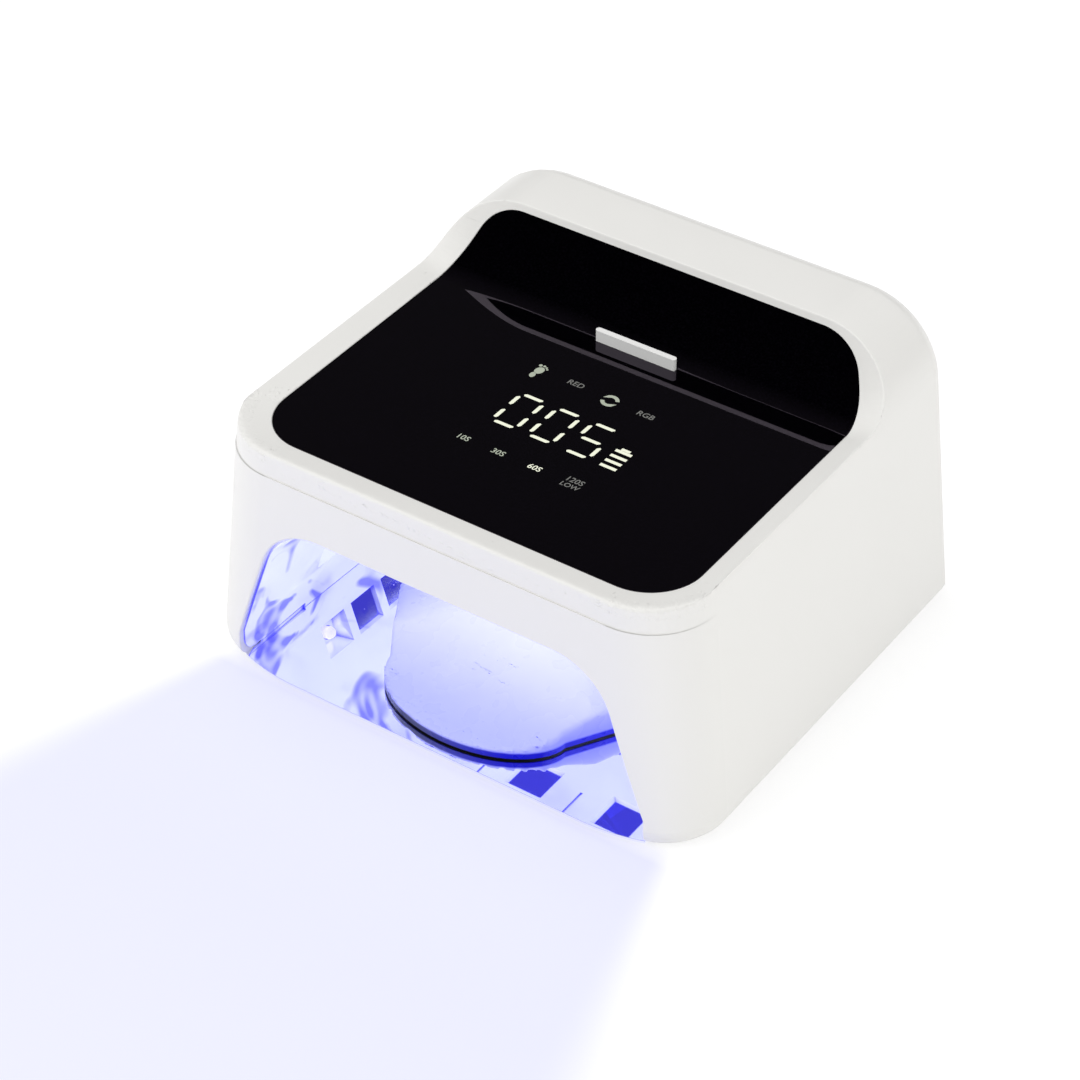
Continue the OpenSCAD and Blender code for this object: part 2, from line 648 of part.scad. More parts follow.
led_board = [pitch_x * 2 + cell_floor + 12, pitch_y * 2 + cell_floor + 12];
module ceiling_led_board() lift() color("#e9ece9") difference() {
    translate([-led_board[0] / 2, flare_y + 5, cup_top])
        cube([led_board[0], cell_y + led_board[1] / 2 - flare_y - 5, board_t]);
    for (s = [-1, 1]) for (k = [-1, 1]) translate([s * led_post[0], cell_y + k * led_post[1], cup_top - 1])
        cylinder(d = screw_d + 0.4, h = 5);
}

module led_board_screws() lift() color("#8a8d92") for (s = [-1, 1]) for (k = [-1, 1])
    translate([s * led_post[0], cell_y + k * led_post[1], led_board_top]) small_screw(6);

module side_led_boards() lift() color("#e9ece9") for (s = [-1, 1]) side_frame(s)
    translate([-side_s / 2, -2.5 * side_pitch, side_h + liner_t]) cube([side_s, 5 * side_pitch, board_t]);

module rear_led_board() lift() color("#e9ece9") rear_frame()
    translate([-2 * rear_pitch, -side_s / 2, cell_h + liner_t]) cube([4 * rear_pitch, side_s, board_t]);

module led() {
    translate([0, 0, -1.6]) cylinder(d = led_d, h = 1.6 + liner_t);
    translate([0, 0, -1.6]) sphere(d = led_d - 0.6);
}
module led_chips() lift() color("#f4f1ff") {
    ceiling_cells() translate([0, 0, cell_h]) led();
    side_cells() translate([0, 0, side_h]) led();
    rear_cells() translate([0, 0, cell_h]) led();
}

module hand_sensor() lift() color("#2a1f33") translate([pitch_x / 2, flare_y + 10, ceiling_z + 0.2]) {
    cylinder(d = sensor_d, h = cup_top - ceiling_z - 0.2);
    translate([0, 0, 3]) cylinder(d = sensor_d + 2.4, h = cup_top - ceiling_z - 3.2);
}

module main_board() lift() color("#1f6b45") difference() {
    union() {
        translate([-main_post[0] - 5, main_y - main_post[1] - 5, post_top])
            cube([2 * main_post[0] + 10, 2 * main_post[1] + 10, board_t]);
        translate([-50, main_y - 12, post_top + board_t - 0.2]) cube([16, 16, 3.2]);
        translate([-12, main_y - 6, post_top + board_t - 0.2]) cube([11, 11, 1.6]);
        translate([22, main_y - 14, post_top + board_t - 0.2]) cylinder(d = 9, h = 6.2);
        translate([40, main_y - 14, post_top + board_t - 0.2]) cylinder(d = 9, h = 6.2);
        translate([30, main_y + 12, post_top + board_t - 0.2]) cube([24, 7, 5.2]);
    }
    for (s = [-1, 1]) for (k = [-1, 1]) translate([s * main_post[0], main_y + k * main_post[1], post_top - 1])
        cylinder(d = screw_d + 0.4, h = 5);
}

module main_board_screws() lift() color("#8a8d92") for (s = [-1, 1]) for (k = [-1, 1])
    translate([s * main_post[0], main_y + k * main_post[1], post_top + board_t]) small_screw(7);

battery_z = post_top + 1.4 + cell_d / 2;
module battery_holder() lift() color("#26272b") difference() {
    union() {
        translate([-holder_w / 2, holder_y - holder_d / 2, post_top]) cube([holder_w, holder_d, 12]);
        for (s = [-1, 1]) for (k = [-1, 1]) hull() {
            translate([s * holder_post[0], holder_y + k * holder_post[1], post_top]) cylinder(d = 7, h = 2);
            translate([s * holder_post[0], holder_y + k * (holder_d / 2 - 1), post_top]) cylinder(d = 7, h = 2);
        }
    }
    for (s = [-1, 1]) for (k = [-1, 1]) {
        translate([s * (cell_l / 2 + 1), holder_y + k * (cell_d / 2 + 0.6), battery_z]) rotate([0, 90, 0])
            cylinder(d = cell_d + 0.6, h = cell_l + 0.6, center = true);
        translate([s * (cell_l / 2 + 1), holder_y + k * (cell_d / 2 + 0.6), battery_z + 10])
            cube([cell_l + 0.6, cell_d + 0.6, 20], center = true);
        translate([s * holder_post[0], holder_y + k * holder_post[1], post_top - 1]) cylinder(d = screw_d + 0.4, h = 5);
    }
}

module battery_cells() lift() color("#2f62b0") for (s = [-1, 1]) for (k = [-1, 1])
    translate([s * (cell_l / 2 + 1), holder_y + k * (cell_d / 2 + 0.6), battery_z]) rotate([0, 90, 0]) {
        cylinder(d = cell_d, h = cell_l - 1.2, center = true);
        cylinder(d = 6, h = cell_l, center = true);
    }

module holder_screws() lift() color("#8a8d92") for (s = [-1, 1]) for (k = [-1, 1])
    translate([s * holder_post[0], holder_y + k * holder_post[1], post_top + 2]) small_screw(7);

module io_board() lift() color("#1f6b45") difference() {
    translate([-io_post[0] - 4, io_y, io_z - io_post[1] - 4]) cube([2 * io_post[0] + 8, board_t, 2 * io_post[1] + 8]);
    for (s = [-1, 1]) for (k = [-1, 1]) translate([s * io_post[0], io_y + 3, io_z + k * io_post[1]]) rotate([90, 0, 0])
        cylinder(d = screw_d + 0.4, h = 5);
}

module io_board_screws() lift() color("#8a8d92") for (s = [-1, 1]) for (k = [-1, 1])
    translate([s * io_post[0], io_y + board_t, io_z + k * io_post[1]]) rotate([-90, 0, 0]) small_screw(6);

module dc_inlet() lift() color("#1d1d20") translate([-io_x, 0, io_z]) difference() {
    union() {
        translate([-4.6, io_y + board_t, -6]) cube([9.2, rear_in - 0.3 - io_y - board_t, 11]);
        translate([0, dish_y - 0.2, 0]) rotate([90, 0, 0]) cylinder(d = jack_d + 2.8, h = dish_y - rear_in + 2);
    }
    difference() {
        translate([0, base_d / 2, 0]) rotate([90, 0, 0]) cylinder(d = jack_d, h = base_d / 2 - dish_y + 9.5);
        translate([0, dish_y - 1, 0]) rotate([90, 0, 0]) cylinder(d = pin_d, h = 12);
    }
}

switch_y = flange_y - 1.3 - 4;
module power_switch() lift() color("#3a3b40") translate([io_x, 0, io_z]) difference() {
    translate([-6, io_y + board_t, -6]) cube([12, switch_y - io_y - board_t, 12]);
    translate([0, switch_y + 1, 0]) rotate([90, 0, 0]) cylinder(d = plunger_d + 2 * run_gap, h = 1 + switch_y - io_y - board_t - 0.8);
}

module power_button() lift() color("#efeeeb") translate([io_x, 0, io_z]) {
    difference() {
        translate([0, dish_y + button_out, 0]) rotate([90, 0, 0])
            cylinder(d = button_d, h = dish_y + button_out - flange_y + 0.5);
        translate([0, dish_y + button_out + 29.4, 0]) sphere(r = 30, $fn = 96);
    }
    translate([0, flange_y, 0]) rotate([90, 0, 0]) cylinder(d = button_d + 2.4, h = 1.3);
}

module switch_plunger() lift() color("#d9d8d4") translate([io_x, 0, io_z])
    translate([0, flange_y - 1.3, 0]) rotate([90, 0, 0]) cylinder(d = plunger_d, h = 6);

tray_w = mouth_w / 2 - tray_side - 0.15;
module base_frame() lift() color("#dcdbd8") difference() {
    linear_extrude(frame_t) polygon(plan(0, frame_in));
    translate([-tray_w - tray_side, -base_d / 2, runner_t])
        cube([2 * (tray_w + tray_side), base_d / 2 + tray_back + tray_gap, frame_t]);
    translate([-tray_w + runner_w, -base_d / 2, -1])
        cube([2 * (tray_w - runner_w), base_d / 2 + tray_back - runner_w, frame_t + 2]);
    for (s = [-1, 1]) {
        for (y = boss_y) translate([s * boss_x, y, -1]) {
            cylinder(d = base_screw_d + 0.4, h = 10);
            cylinder(d = 2 * base_screw_d - 0.2, h = 2);
        }
        translate([s * rear_boss[0], rear_boss[1], -1]) {
            cylinder(d = base_screw_d + 0.4, h = 10);
            cylinder(d = 2 * base_screw_d - 0.2, h = 2);
        }
        for (p = foot_at)
            translate([s * p[0], p[1], -1]) cylinder(d = foot_d + 0.1, h = 1 + foot_sink);
        translate([s * 40 - magnet_l / 2 - 0.1, tray_back + tray_gap + 0.5, runner_t]) cube([magnet_l + 0.2, magnet_w + 0.2, 5]);
    }
}

module frame_magnets() lift() color("#a9abb0") for (s = [-1, 1])
    translate([s * 40 - magnet_l / 2, tray_back + tray_gap + 0.6, runner_t]) cube([magnet_l, magnet_w, frame_t - runner_t - 0.1]);

module rubber_feet() lift() color("#2b2b2d") for (s = [-1, 1])
    for (p = foot_at)
        translate([s * p[0], p[1], -foot_proud]) cylinder(d = foot_d, h = foot_proud + foot_sink);

module base_screw() {
    translate([0, 0, 0.1]) cylinder(d = 2 * base_screw_d - 0.6, h = 0.9);
    translate([0, 0, 0.5]) cylinder(d = base_screw_d, h = flange_z + 7);
}
module housing_screws() lift() color("#8a8d92") for (s = [-1, 1]) {
    for (y = boss_y) translate([s * boss_x, y, 0]) base_screw();
    translate([s * rear_boss[0], rear_boss[1], 0]) base_screw();
}

tray_front = half_d(foot_fillet);
tray_r = (pow(tray_w - tray_straight, 2) + pow(tray_sweep, 2)) / (2 * tray_sweep);
rest_bolt = [[0, -60], [-38, -16], [38, -16]];
module base_tray() lift() color("#c4c9d8") translate([0, 0, tray_z0]) difference() {
    linear_extrude(tray_t) union() {
        translate([-tray_w, tray_sweep - tray_front]) square([2 * tray_w, tray_back + tray_front - tray_sweep]);
        intersection() {
            translate([-tray_w, -tray_front]) square([2 * tray_w, 20]);
            union() {
                translate([-tray_straight, -tray_front]) square([2 * tray_straight, 20]);
                for (s = [-1, 1]) translate([s * tray_straight, tray_r - tray_front]) circle(tray_r, $fn = 256);
            }
        }
    }
    for (p = rest_bolt) translate([p[0], p[1], -1]) cylinder(d = screw_d + 0.6, h = 5);
}

// outline of the rest, moved in by t
rest_end = rest_corner + rest_spread * (rest_corner_y + rest_back);
function rest_plan(t) = let (
    n = 14,
    side = [for (i = [0:n]) let (a = 90 * i / n, u = 1 - pow(cos(a), 1.12), v = sin(a))
        [(rest_corner - t) * v, -rest_nose + t + (rest_nose - rest_corner_y - t * 0.4) * u * 0.92]],
    rear = arc(rest_end - 14 - t, rest_back - 14 - t, 14, -25, 90, 8))
    let (half = concat(side, rear))
    concat(half, [for (i = [len(half) - 1:-1:1]) [-half[i][0], half[i][1]]]);
rest_z = tray_z1 + gasket_t;
// side view of the rest's top, lowered by t
function rest_top(y) = y < -rest_crest_y
    ? rest_low + (rest_high - rest_low) * (1 - cos(180 * min(max((y + rest_nose) / (rest_nose - rest_crest_y), 0), 1))) / 2
    : rest_low + 3 + (rest_high - rest_low - 3) * (1 + cos(180 * min((y + rest_crest_y) / (rest_back + rest_crest_y + 2), 1))) / 2;
function rest_crown(x) = rest_high - crown_of + sqrt(crown_of * crown_of - x * x);
crown_of = 170;
module rest_form(t) intersection() {
    translate([0, 0, rest_z - (t > 0 ? 1 : 0)]) linear_extrude(rest_high + 2) polygon(rest_plan(t));
    along_x(200) polygon(concat([[rest_back + 5, rest_z - 2], [-rest_nose - 3, rest_z - 2]],
        [for (i = [0:40]) let (y = -rest_nose - 3 + (rest_nose + rest_back + 8) * i / 40) [y, rest_z + rest_top(y) - t]]));
    translate([0, 0, rest_z + rest_high - t - crown_of]) rotate([90, 0, 0])
        cylinder(r = crown_of, h = 400, center = true, $fn = 192);
}
module hand_rest() lift() color("#d9dcf2") {
    difference() {
        rest_form(0);
        rest_form(rest_wall);
    }
    for (p = rest_bolt) difference() {
        translate([p[0], p[1], rest_z]) cylinder(d = 7, h = min(rest_top(p[1]), rest_crown(p[0])) - 0.9);
        translate([p[0], p[1], rest_z - 1]) cylinder(d = screw_d + 2 * screw_gap, h = 7);
    }
}

module rest_gasket() lift() color("#121114") translate([0, 0, tray_z1]) difference() {
    linear_extrude(gasket_t) union() {
        difference() {
            polygon(rest_plan(0.2));
            polygon(rest_plan(gasket_w));
        }
        intersection() {
            polygon(rest_plan(0.2));
            union() {
                for (p = rest_bolt) translate([p[0], p[1]]) circle(d = 9);
                translate([-gasket_w / 2, rest_bolt[0][1] - 50]) square([gasket_w, 50]);
                for (s = [-1, 1]) translate([s * (rest_bolt[2][0] + 25), rest_bolt[2][1]]) square([50, gasket_w], center = true);
            }
        }
    }
    for (p = rest_bolt) translate([p[0], p[1], -1]) cylinder(d = screw_d + 0.6, h = 5);
}

module rest_screws() lift() color("#8a8d92") for (p = rest_bolt) translate([p[0], p[1], tray_z0]) rotate([180, 0, 0])
    small_screw(tray_t + gasket_t + 5, screw_d, tray_z0 - 0.1);

housing();
touch_panel();
phone_stop();
display_module();
touch_board();
touch_springs();
touch_board_screws();
reflector();
ceiling_led_board();
led_board_screws();
side_led_boards();
rear_led_board();
led_chips();
hand_sensor();
main_board();
main_board_screws();
battery_holder();
battery_cells();
holder_screws();
io_board();
io_board_screws();
dc_inlet();
power_switch();
power_button();
switch_plunger();
base_frame();
frame_magnets();
rubber_feet();
housing_screws();
base_tray();
hand_rest();
rest_gasket();
rest_screws();
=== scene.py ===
import bpy
import bmesh
import json
import math
from mathutils import Matrix, Vector, kdtree

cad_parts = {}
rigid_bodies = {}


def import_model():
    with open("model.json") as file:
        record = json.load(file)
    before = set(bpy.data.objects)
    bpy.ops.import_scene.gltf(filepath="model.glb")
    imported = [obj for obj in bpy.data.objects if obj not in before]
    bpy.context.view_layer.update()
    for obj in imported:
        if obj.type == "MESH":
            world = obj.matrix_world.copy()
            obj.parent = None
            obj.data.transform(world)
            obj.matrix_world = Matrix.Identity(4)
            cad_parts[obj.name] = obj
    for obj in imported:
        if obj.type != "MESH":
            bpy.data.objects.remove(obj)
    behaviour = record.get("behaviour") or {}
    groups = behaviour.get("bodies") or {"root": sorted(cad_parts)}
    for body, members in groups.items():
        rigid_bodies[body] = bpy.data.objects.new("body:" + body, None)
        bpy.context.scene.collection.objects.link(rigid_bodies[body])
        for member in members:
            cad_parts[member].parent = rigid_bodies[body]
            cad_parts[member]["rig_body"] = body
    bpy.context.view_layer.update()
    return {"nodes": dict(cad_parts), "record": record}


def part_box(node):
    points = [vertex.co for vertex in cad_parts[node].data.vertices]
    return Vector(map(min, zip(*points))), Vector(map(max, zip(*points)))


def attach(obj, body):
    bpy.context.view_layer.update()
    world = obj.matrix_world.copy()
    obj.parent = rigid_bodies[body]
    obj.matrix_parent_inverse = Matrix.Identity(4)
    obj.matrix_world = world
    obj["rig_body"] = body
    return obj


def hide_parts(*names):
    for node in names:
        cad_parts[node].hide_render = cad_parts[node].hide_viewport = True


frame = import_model()
mm = 0.001
nodes = frame["nodes"]
print("frame loaded")


# small helpers, used all through
def link(obj):
    bpy.context.scene.collection.objects.link(obj)
    return obj


def meshPiece(name, mesh):
    return link(bpy.data.objects.new(name, mesh))


welding = {"apart": 0.004 * mm, "flatAngle": 0.6}


def welded(node):
    bm = bmesh.new()
    bm.from_mesh(nodes[node].data)
    bmesh.ops.remove_doubles(bm, verts=bm.verts, dist=welding["apart"])
    flat = math.radians(welding["flatAngle"])
    bmesh.ops.dissolve_limit(bm, angle_limit=flat, verts=bm.verts, edges=bm.edges)
    return bm


# a welded copy of a CAD node's mesh, with its flat faces joined up
def mergedCopy(node, name):
    bm = welded(node)
    mesh = bpy.data.meshes.new(name)
    bm.to_mesh(mesh)
    bm.free()
    return meshPiece(name, mesh)


# turns what the modifiers make into the object's own mesh
def settle(obj):
    made = bpy.data.meshes.new_from_object(obj.evaluated_get(bpy.context.evaluated_depsgraph_get()))
    obj.modifiers.clear()
    obj.data = made
    return obj


def smoothBy(obj, angle):
    obj.data.shade_smooth()
    obj.data.set_sharp_from_angle(angle=math.radians(angle))
    return obj


# lets the large faces keep their own direction in the shading
def evenNormals(obj):
    even = obj.modifiers.new("even", "WEIGHTED_NORMAL")
    even.mode = "FACE_AREA"
    even.keep_sharp = True
    return settle(obj)


# degrees: up to where a bevelled piece is shaded smooth, and the flattest edge that a rule may round
bevelSmooth = 40
flattest = 20


def bevelled(obj, width, segments):
    bevel = obj.modifiers.new("edges", "BEVEL")
    bevel.width = width
    bevel.segments = segments
    bevel.miter_outer = "MITER_ARC"
    return bevel


def rounded(obj, width, segments, angle):
    bevel = bevelled(obj, width, segments)
    bevel.limit_method = "ANGLE"
    bevel.angle_limit = math.radians(angle)
    bevel.use_clamp_overlap = True
    return evenNormals(smoothBy(settle(obj), bevelSmooth))


# rounds each convex edge by the width that the rule gives for it
def roundedBy(obj, rule, widest, segments):
    bm = bmesh.new()
    bm.from_mesh(obj.data)
    weight = bm.edges.layers.float.new("bevel_weight_edge")
    for edge in bm.edges:
        if len(edge.link_faces) == 2 and edge.is_convex:
            first, second = (f.normal for f in edge.link_faces)
            if first.angle(second, 0) > math.radians(flattest):
                edge[weight] = rule((edge.verts[0].co + edge.verts[1].co) / 2, first, second) / widest
    bm.to_mesh(obj.data)
    bm.free()
    bevel = bevelled(obj, widest, segments)
    bevel.limit_method = "WEIGHT"
    bevel.use_clamp_overlap = False
    return evenNormals(smoothBy(settle(obj), bevelSmooth))


def stamp(obj, material):
    obj.data.materials.clear()
    obj.data.materials.append(material)
    return obj


def standFor(obj, body, slot, *replaced):
    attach(obj, body)
    if replaced:
        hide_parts(*replaced)
    return obj


# camera, solved from the photograph's outline
view = {"place": (0.55293, -0.83009, 0.83108), "target": (-0.04023, 0.02991, 0.001),
        "focal": 3312.8, "middle": (541.18, 538.27), "side": 1080,
        "sensor": 36, "clip": 0.05}


def makeCamera():
    data = bpy.data.cameras.new("camera")
    data.sensor_fit = "HORIZONTAL"
    data.sensor_width = view["sensor"]
    data.lens = view["focal"] / view["side"] * data.sensor_width
    data.shift_x = -(view["middle"][0] - view["side"] / 2) / view["side"]
    data.shift_y = (view["middle"][1] - view["side"] / 2) / view["side"]
    data.clip_start = view["clip"]
    camera = link(bpy.data.objects.new("camera", data))
    camera.location = view["place"]
    way = Vector(view["target"]) - Vector(view["place"])
    camera.rotation_euler = way.to_track_quat("-Z", "Y").to_euler()
    bpy.context.scene.camera = camera


makeCamera()
print("camera set")


# short ways to make shader nodes
def freshMaterial(name):
    material = bpy.data.materials.new(name)
    material.use_nodes = True
    tree = material.node_tree
    tree.nodes.clear()
    out = tree.nodes.new("ShaderNodeOutputMaterial")
    shader = tree.nodes.new("ShaderNodeBsdfPrincipled")
    tree.links.new(shader.outputs[0], out.inputs[0])
    place = tree.nodes.new("ShaderNodeTexCoord")
    return material, tree, shader, place.outputs["Object"]


def noise(tree, where, scale, detail=3, rough=0.5, distortion=0):
    n = tree.nodes.new("ShaderNodeTexNoise")
    n.inputs["Distortion"].default_value = distortion
    n.inputs["Scale"].default_value = scale
    n.inputs["Detail"].default_value = detail
    n.inputs["Roughness"].default_value = rough
    tree.links.new(where, n.inputs["Vector"])
    return n.outputs["Fac"]


def ramp(tree, value, low, high, outLow, outHigh):
    r = tree.nodes.new("ShaderNodeMapRange")
    for key, number in zip(("From Min", "From Max", "To Min", "To Max"), (low, high, outLow, outHigh)):
        r.inputs[key].default_value = number
    tree.links.new(value, r.inputs["Value"])
    return r.outputs["Result"]


def blendColours(tree, factor, first, second):
    m = tree.nodes.new("ShaderNodeMix")
    m.data_type = "RGBA"
    m.inputs[6].default_value = (*first, 1)
    m.inputs[7].default_value = (*second, 1)
    tree.links.new(factor, m.inputs["Factor"])
    return m.outputs[2]


def axes(tree, where):
    split = tree.nodes.new("ShaderNodeSeparateXYZ")
    tree.links.new(where, split.inputs[0])
    return split.outputs


def maths(tree, kind, a, b, clamp=False):
    m = tree.nodes.new("ShaderNodeMath")
    m.operation = kind
    m.use_clamp = clamp
    for i, v in enumerate((a, b)):
        if isinstance(v, (int, float)):
            m.inputs[i].default_value = v
        else:
            tree.links.new(v, m.inputs[i])
    return m.outputs[0]


def grain(tree, shader, height, strength, distance):
    b = tree.nodes.new("ShaderNodeBump")
    b.inputs["Strength"].default_value = strength
    b.inputs["Distance"].default_value = distance
    tree.links.new(height, b.inputs["Height"])
    tree.links.new(b.outputs["Normal"], shader.inputs["Normal"])


# for every finish: the grain's depth, how much broader its mottling is, and the middle of a noise
surface = {"grainHigh": 0.05 * mm, "broader": 30, "middle": (0.3, 0.7), "leastRough": 0.01}


# moulded or plated surface: fine grain, slight mottling of colour and gloss
def finish(name, colour, rough, metallic=0.0, scale=900, bump=0.05, tint=0.03, sheenRough=0.06, ior=None):
    material, tree, shader, where = freshMaterial(name)
    fine = noise(tree, where, scale)
    broad = noise(tree, where, scale / surface["broader"], 2)
    darker = tuple(c * (1 - tint) for c in colour)
    tree.links.new(blendColours(tree, broad, darker, colour), shader.inputs["Base Color"])
    glossFrom = max(rough - sheenRough, surface["leastRough"])
    gloss = ramp(tree, broad, *surface["middle"], glossFrom, rough + sheenRough)
    tree.links.new(gloss, shader.inputs["Roughness"])
    shader.inputs["Metallic"].default_value = metallic
    if ior:
        shader.inputs["IOR"].default_value = ior
    if bump:
        grain(tree, shader, fine, bump, surface["grainHigh"])
    return material


# floor, air and lamps
# the pool keys set a pool of blue-violet light painted on the floor in front of the mouth
studio = {"ambient": 0.62, "glossyAmbient": 0.05, "floorLift": 0.62, "floorWhite": 1.12,
          "paintedGlowPool": (0.772, 0.781, 0.980), "poolHalf": 0.101, "poolSpread": 0.34, "poolStart": 0.095,
          "poolSoft": 0.014, "poolSofter": 0.30, "poolEdge": (-0.004, 0.006), "poolFade": (0.1, 1.4),
          "reach": 6.0}


def cameraLike(tree):
    path = tree.nodes.new("ShaderNodeLightPath").outputs
    return maths(tree, "MAXIMUM", maths(tree, "MAXIMUM", path["Is Camera Ray"], path["Is Glossy Ray"]),
                 path["Is Transmission Ray"])


# the floor: white, with a painted pool of blue-violet light in front of the lamp's mouth, where the
# chamber's glow would fall
def floorMaterial():
    material, tree, shader, where = freshMaterial("floorPaintedGlow")
    at = axes(tree, where)
    ahead = maths(tree, "SUBTRACT", maths(tree, "MULTIPLY", at["Y"], -1.0), studio["poolStart"])
    half = maths(tree, "ADD", maths(tree, "MULTIPLY", ahead, studio["poolSpread"]), studio["poolHalf"])
    soft = maths(tree, "ADD", maths(tree, "MULTIPLY", ahead, studio["poolSofter"]), studio["poolSoft"])
    inside = maths(tree, "SUBTRACT", half, maths(tree, "ABSOLUTE", at["X"], 0.0))
    side = maths(tree, "ADD", maths(tree, "DIVIDE", inside, soft), 0.5, True)
    front = ramp(tree, ahead, *studio["poolEdge"], 0, 1)
    fade = ramp(tree, ahead, *studio["poolFade"], 1, 0)
    smooth = tree.nodes.new("ShaderNodeMapRange")
    smooth.interpolation_type = "SMOOTHERSTEP"
    tree.links.new(side, smooth.inputs["Value"])
    paintedGlowMask = maths(tree, "MULTIPLY", maths(tree, "MULTIPLY", smooth.outputs[0], front, True), fade, True)
    # painted light: the pool's blue-violet colour, blended in by its mask
    colour = blendColours(tree, paintedGlowMask, (1, 1, 1), studio["paintedGlowPool"])
    diffuse = tree.nodes.new("ShaderNodeBsdfDiffuse")
    tree.links.new(colour, diffuse.inputs["Color"])
    glow = tree.nodes.new("ShaderNodeEmission")
    tree.links.new(colour, glow.inputs["Color"])
    glow.inputs["Strength"].default_value = studio["floorWhite"]
    seen = cameraLike(tree)
    mix = tree.nodes.new("ShaderNodeMixShader")
    tree.links.new(maths(tree, "MULTIPLY", seen, studio["floorLift"]), mix.inputs[0])
    tree.links.new(diffuse.outputs[0], mix.inputs[1])
    tree.links.new(glow.outputs[0], mix.inputs[2])
    out = [n for n in tree.nodes if n.type == "OUTPUT_MATERIAL"][0]
    tree.links.new(mix.outputs[0], out.inputs[0])
    tree.nodes.remove(shader)
    return material


def makeStage():
    r = studio["reach"]
    mesh = bpy.data.meshes.new("floor")
    mesh.from_pydata([(-r, -r, 0), (r, -r, 0), (r, r, 0), (-r, r, 0)], [], [(0, 1, 2, 3)])
    floor = meshPiece("floor", mesh)
    stamp(floor, floorMaterial())

    world = bpy.data.worlds.new("studioAir")
    bpy.context.scene.world = world
    world.use_nodes = True
    tree = world.node_tree
    tree.nodes.clear()
    path = tree.nodes.new("ShaderNodeLightPath").outputs
    air = tree.nodes.new("ShaderNodeBackground")
    air.inputs["Color"].default_value = (1, 1, 1, 1)
    # white to the camera and through glass, dark to gloss, soft white to everything else
    straight = maths(tree, "MAXIMUM", path["Is Camera Ray"], path["Is Transmission Ray"])
    lift = maths(tree, "MULTIPLY", straight, 1 - studio["ambient"])
    ambient = maths(tree, "ADD", lift, studio["ambient"])
    dark = maths(tree, "MULTIPLY", path["Is Glossy Ray"], studio["ambient"] - studio["glossyAmbient"])
    tree.links.new(maths(tree, "SUBTRACT", ambient, dark), air.inputs["Strength"])
    out = tree.nodes.new("ShaderNodeOutputWorld")
    tree.links.new(air.outputs[0], out.inputs[0])


# each area lamp: where it stands, its side, its watts and its colour
lampTarget = (0, 0, 0.05)
lamps = {"leftFront": ((-1.0, -1.9, 1.15), 1.3, 17, (1, 1, 1)),
         "rightSide": ((1.9, -0.2, 1.1), 1.3, 12, (1, 0.995, 0.98)),
         "overhead": ((-0.75, 0.15, 2.1), 1.5, 13, (1, 1, 1))}


def makeLamps():
    for name, (place, size, power, colour) in lamps.items():
        data = bpy.data.lights.new(name, "AREA")
        data.size = size
        data.energy = power
        data.color = colour
        lamp = link(bpy.data.objects.new(name, data))
        lamp.location = place
        lamp.rotation_euler = (Vector(lampTarget) - Vector(place)).to_track_quat("-Z", "Y").to_euler()
        lamp.visible_glossy = False
        lamp.visible_camera = False


makeStage()
makeLamps()
print("floor, air and lamps set")


# finishes of the CAD's material slots
whitePlastic = (0.800, 0.793, 0.770)

slotLooks = {
    "stop_white": dict(colour=(0.86, 0.86, 0.85), rough=0.30),
    "display_block": dict(colour=(0.72, 0.69, 0.60), rough=0.55),
    "board_green": dict(colour=(0.012, 0.12, 0.055), rough=0.38, scale=500),
    "board_white": dict(colour=(0.72, 0.75, 0.72), rough=0.42, scale=500),
    "spring_steel": dict(colour=(0.62, 0.63, 0.65), rough=0.25, metallic=1.0, scale=2500),
    "screw_steel": dict(colour=(0.50, 0.51, 0.53), rough=0.32, metallic=1.0, scale=2500),
    "sensor_lens": dict(colour=(0.02, 0.012, 0.03), rough=0.08, ior=1.55),
    "holder_black": dict(colour=(0.02, 0.02, 0.022), rough=0.55, scale=1200, bump=0.12),
    "inlet_black": dict(colour=(0.016, 0.016, 0.018), rough=0.45, scale=1200, bump=0.12),
    "switch_grey": dict(colour=(0.045, 0.045, 0.05), rough=0.5, scale=1200),
    "button_white": dict(colour=(0.82, 0.815, 0.795), rough=0.26),
    "plunger_white": dict(colour=(0.70, 0.70, 0.68), rough=0.4),
    "frame_white": dict(colour=(0.72, 0.72, 0.70), rough=0.45, scale=1400, bump=0.15),
    "magnet_nickel": dict(colour=(0.60, 0.60, 0.62), rough=0.22, metallic=1.0, scale=1800),
    "foot_rubber": dict(colour=(0.018, 0.018, 0.02), rough=0.75, scale=1500, bump=0.3),
    "gasket_black": dict(colour=(0.006, 0.006, 0.008), rough=0.5, scale=1500, bump=0.1),
}
looks = {slot: finish(slot, **values) for slot, values in slotLooks.items()}
looks["housing_white"] = finish("housingWhite", whitePlastic, 0.34, scale=1600, bump=0.06, tint=0.012)
looks["tray_mirror"] = finish("trayMirror", (0.955, 0.96, 1.0), 0.015, metallic=1.0, scale=60, bump=0.0,
                              tint=0.01, sheenRough=0.01)

# the plated liner, with its light painted on: a pale glow painted as the light its walls throw on each
# other, and painted shade, deep blue, in its corners and recesses and on walls that face the mouth
plated = {"pale": (0.235, 0.245, 0.44), "paintedShadeGlow": (0.02, 0.015, 0.60),
          "base": (0.84, 0.86, 1.0), "paintedShadeBase": (0.10, 0.10, 0.75), "metallic": 0.55,
          "rough": (0.08, 0.20), "reach": 4 * mm, "reachSamples": 6, "toMouth": (0.55, -0.83, 0),
          "facingLeast": 0.04, "gain": 1.9, "shut": (0.12, 0.8),
          "lineReach": 1.2 * mm, "lineSamples": 4, "line": (0.35, 0.75), "lineDeep": 0.85,
          "front": (-95.9 * mm, -95.2 * mm), "frontDeep": 0.8,
          "streaks": 30, "streakRough": 0.6, "streakBend": 1.6, "streak": (0.56, 0.66), "streakDeep": 0.75,
          "streakAlong": (-30 * mm, -62 * mm), "waves": 46, "waveHigh": 0.9 * mm, "waveStrength": 0.6}


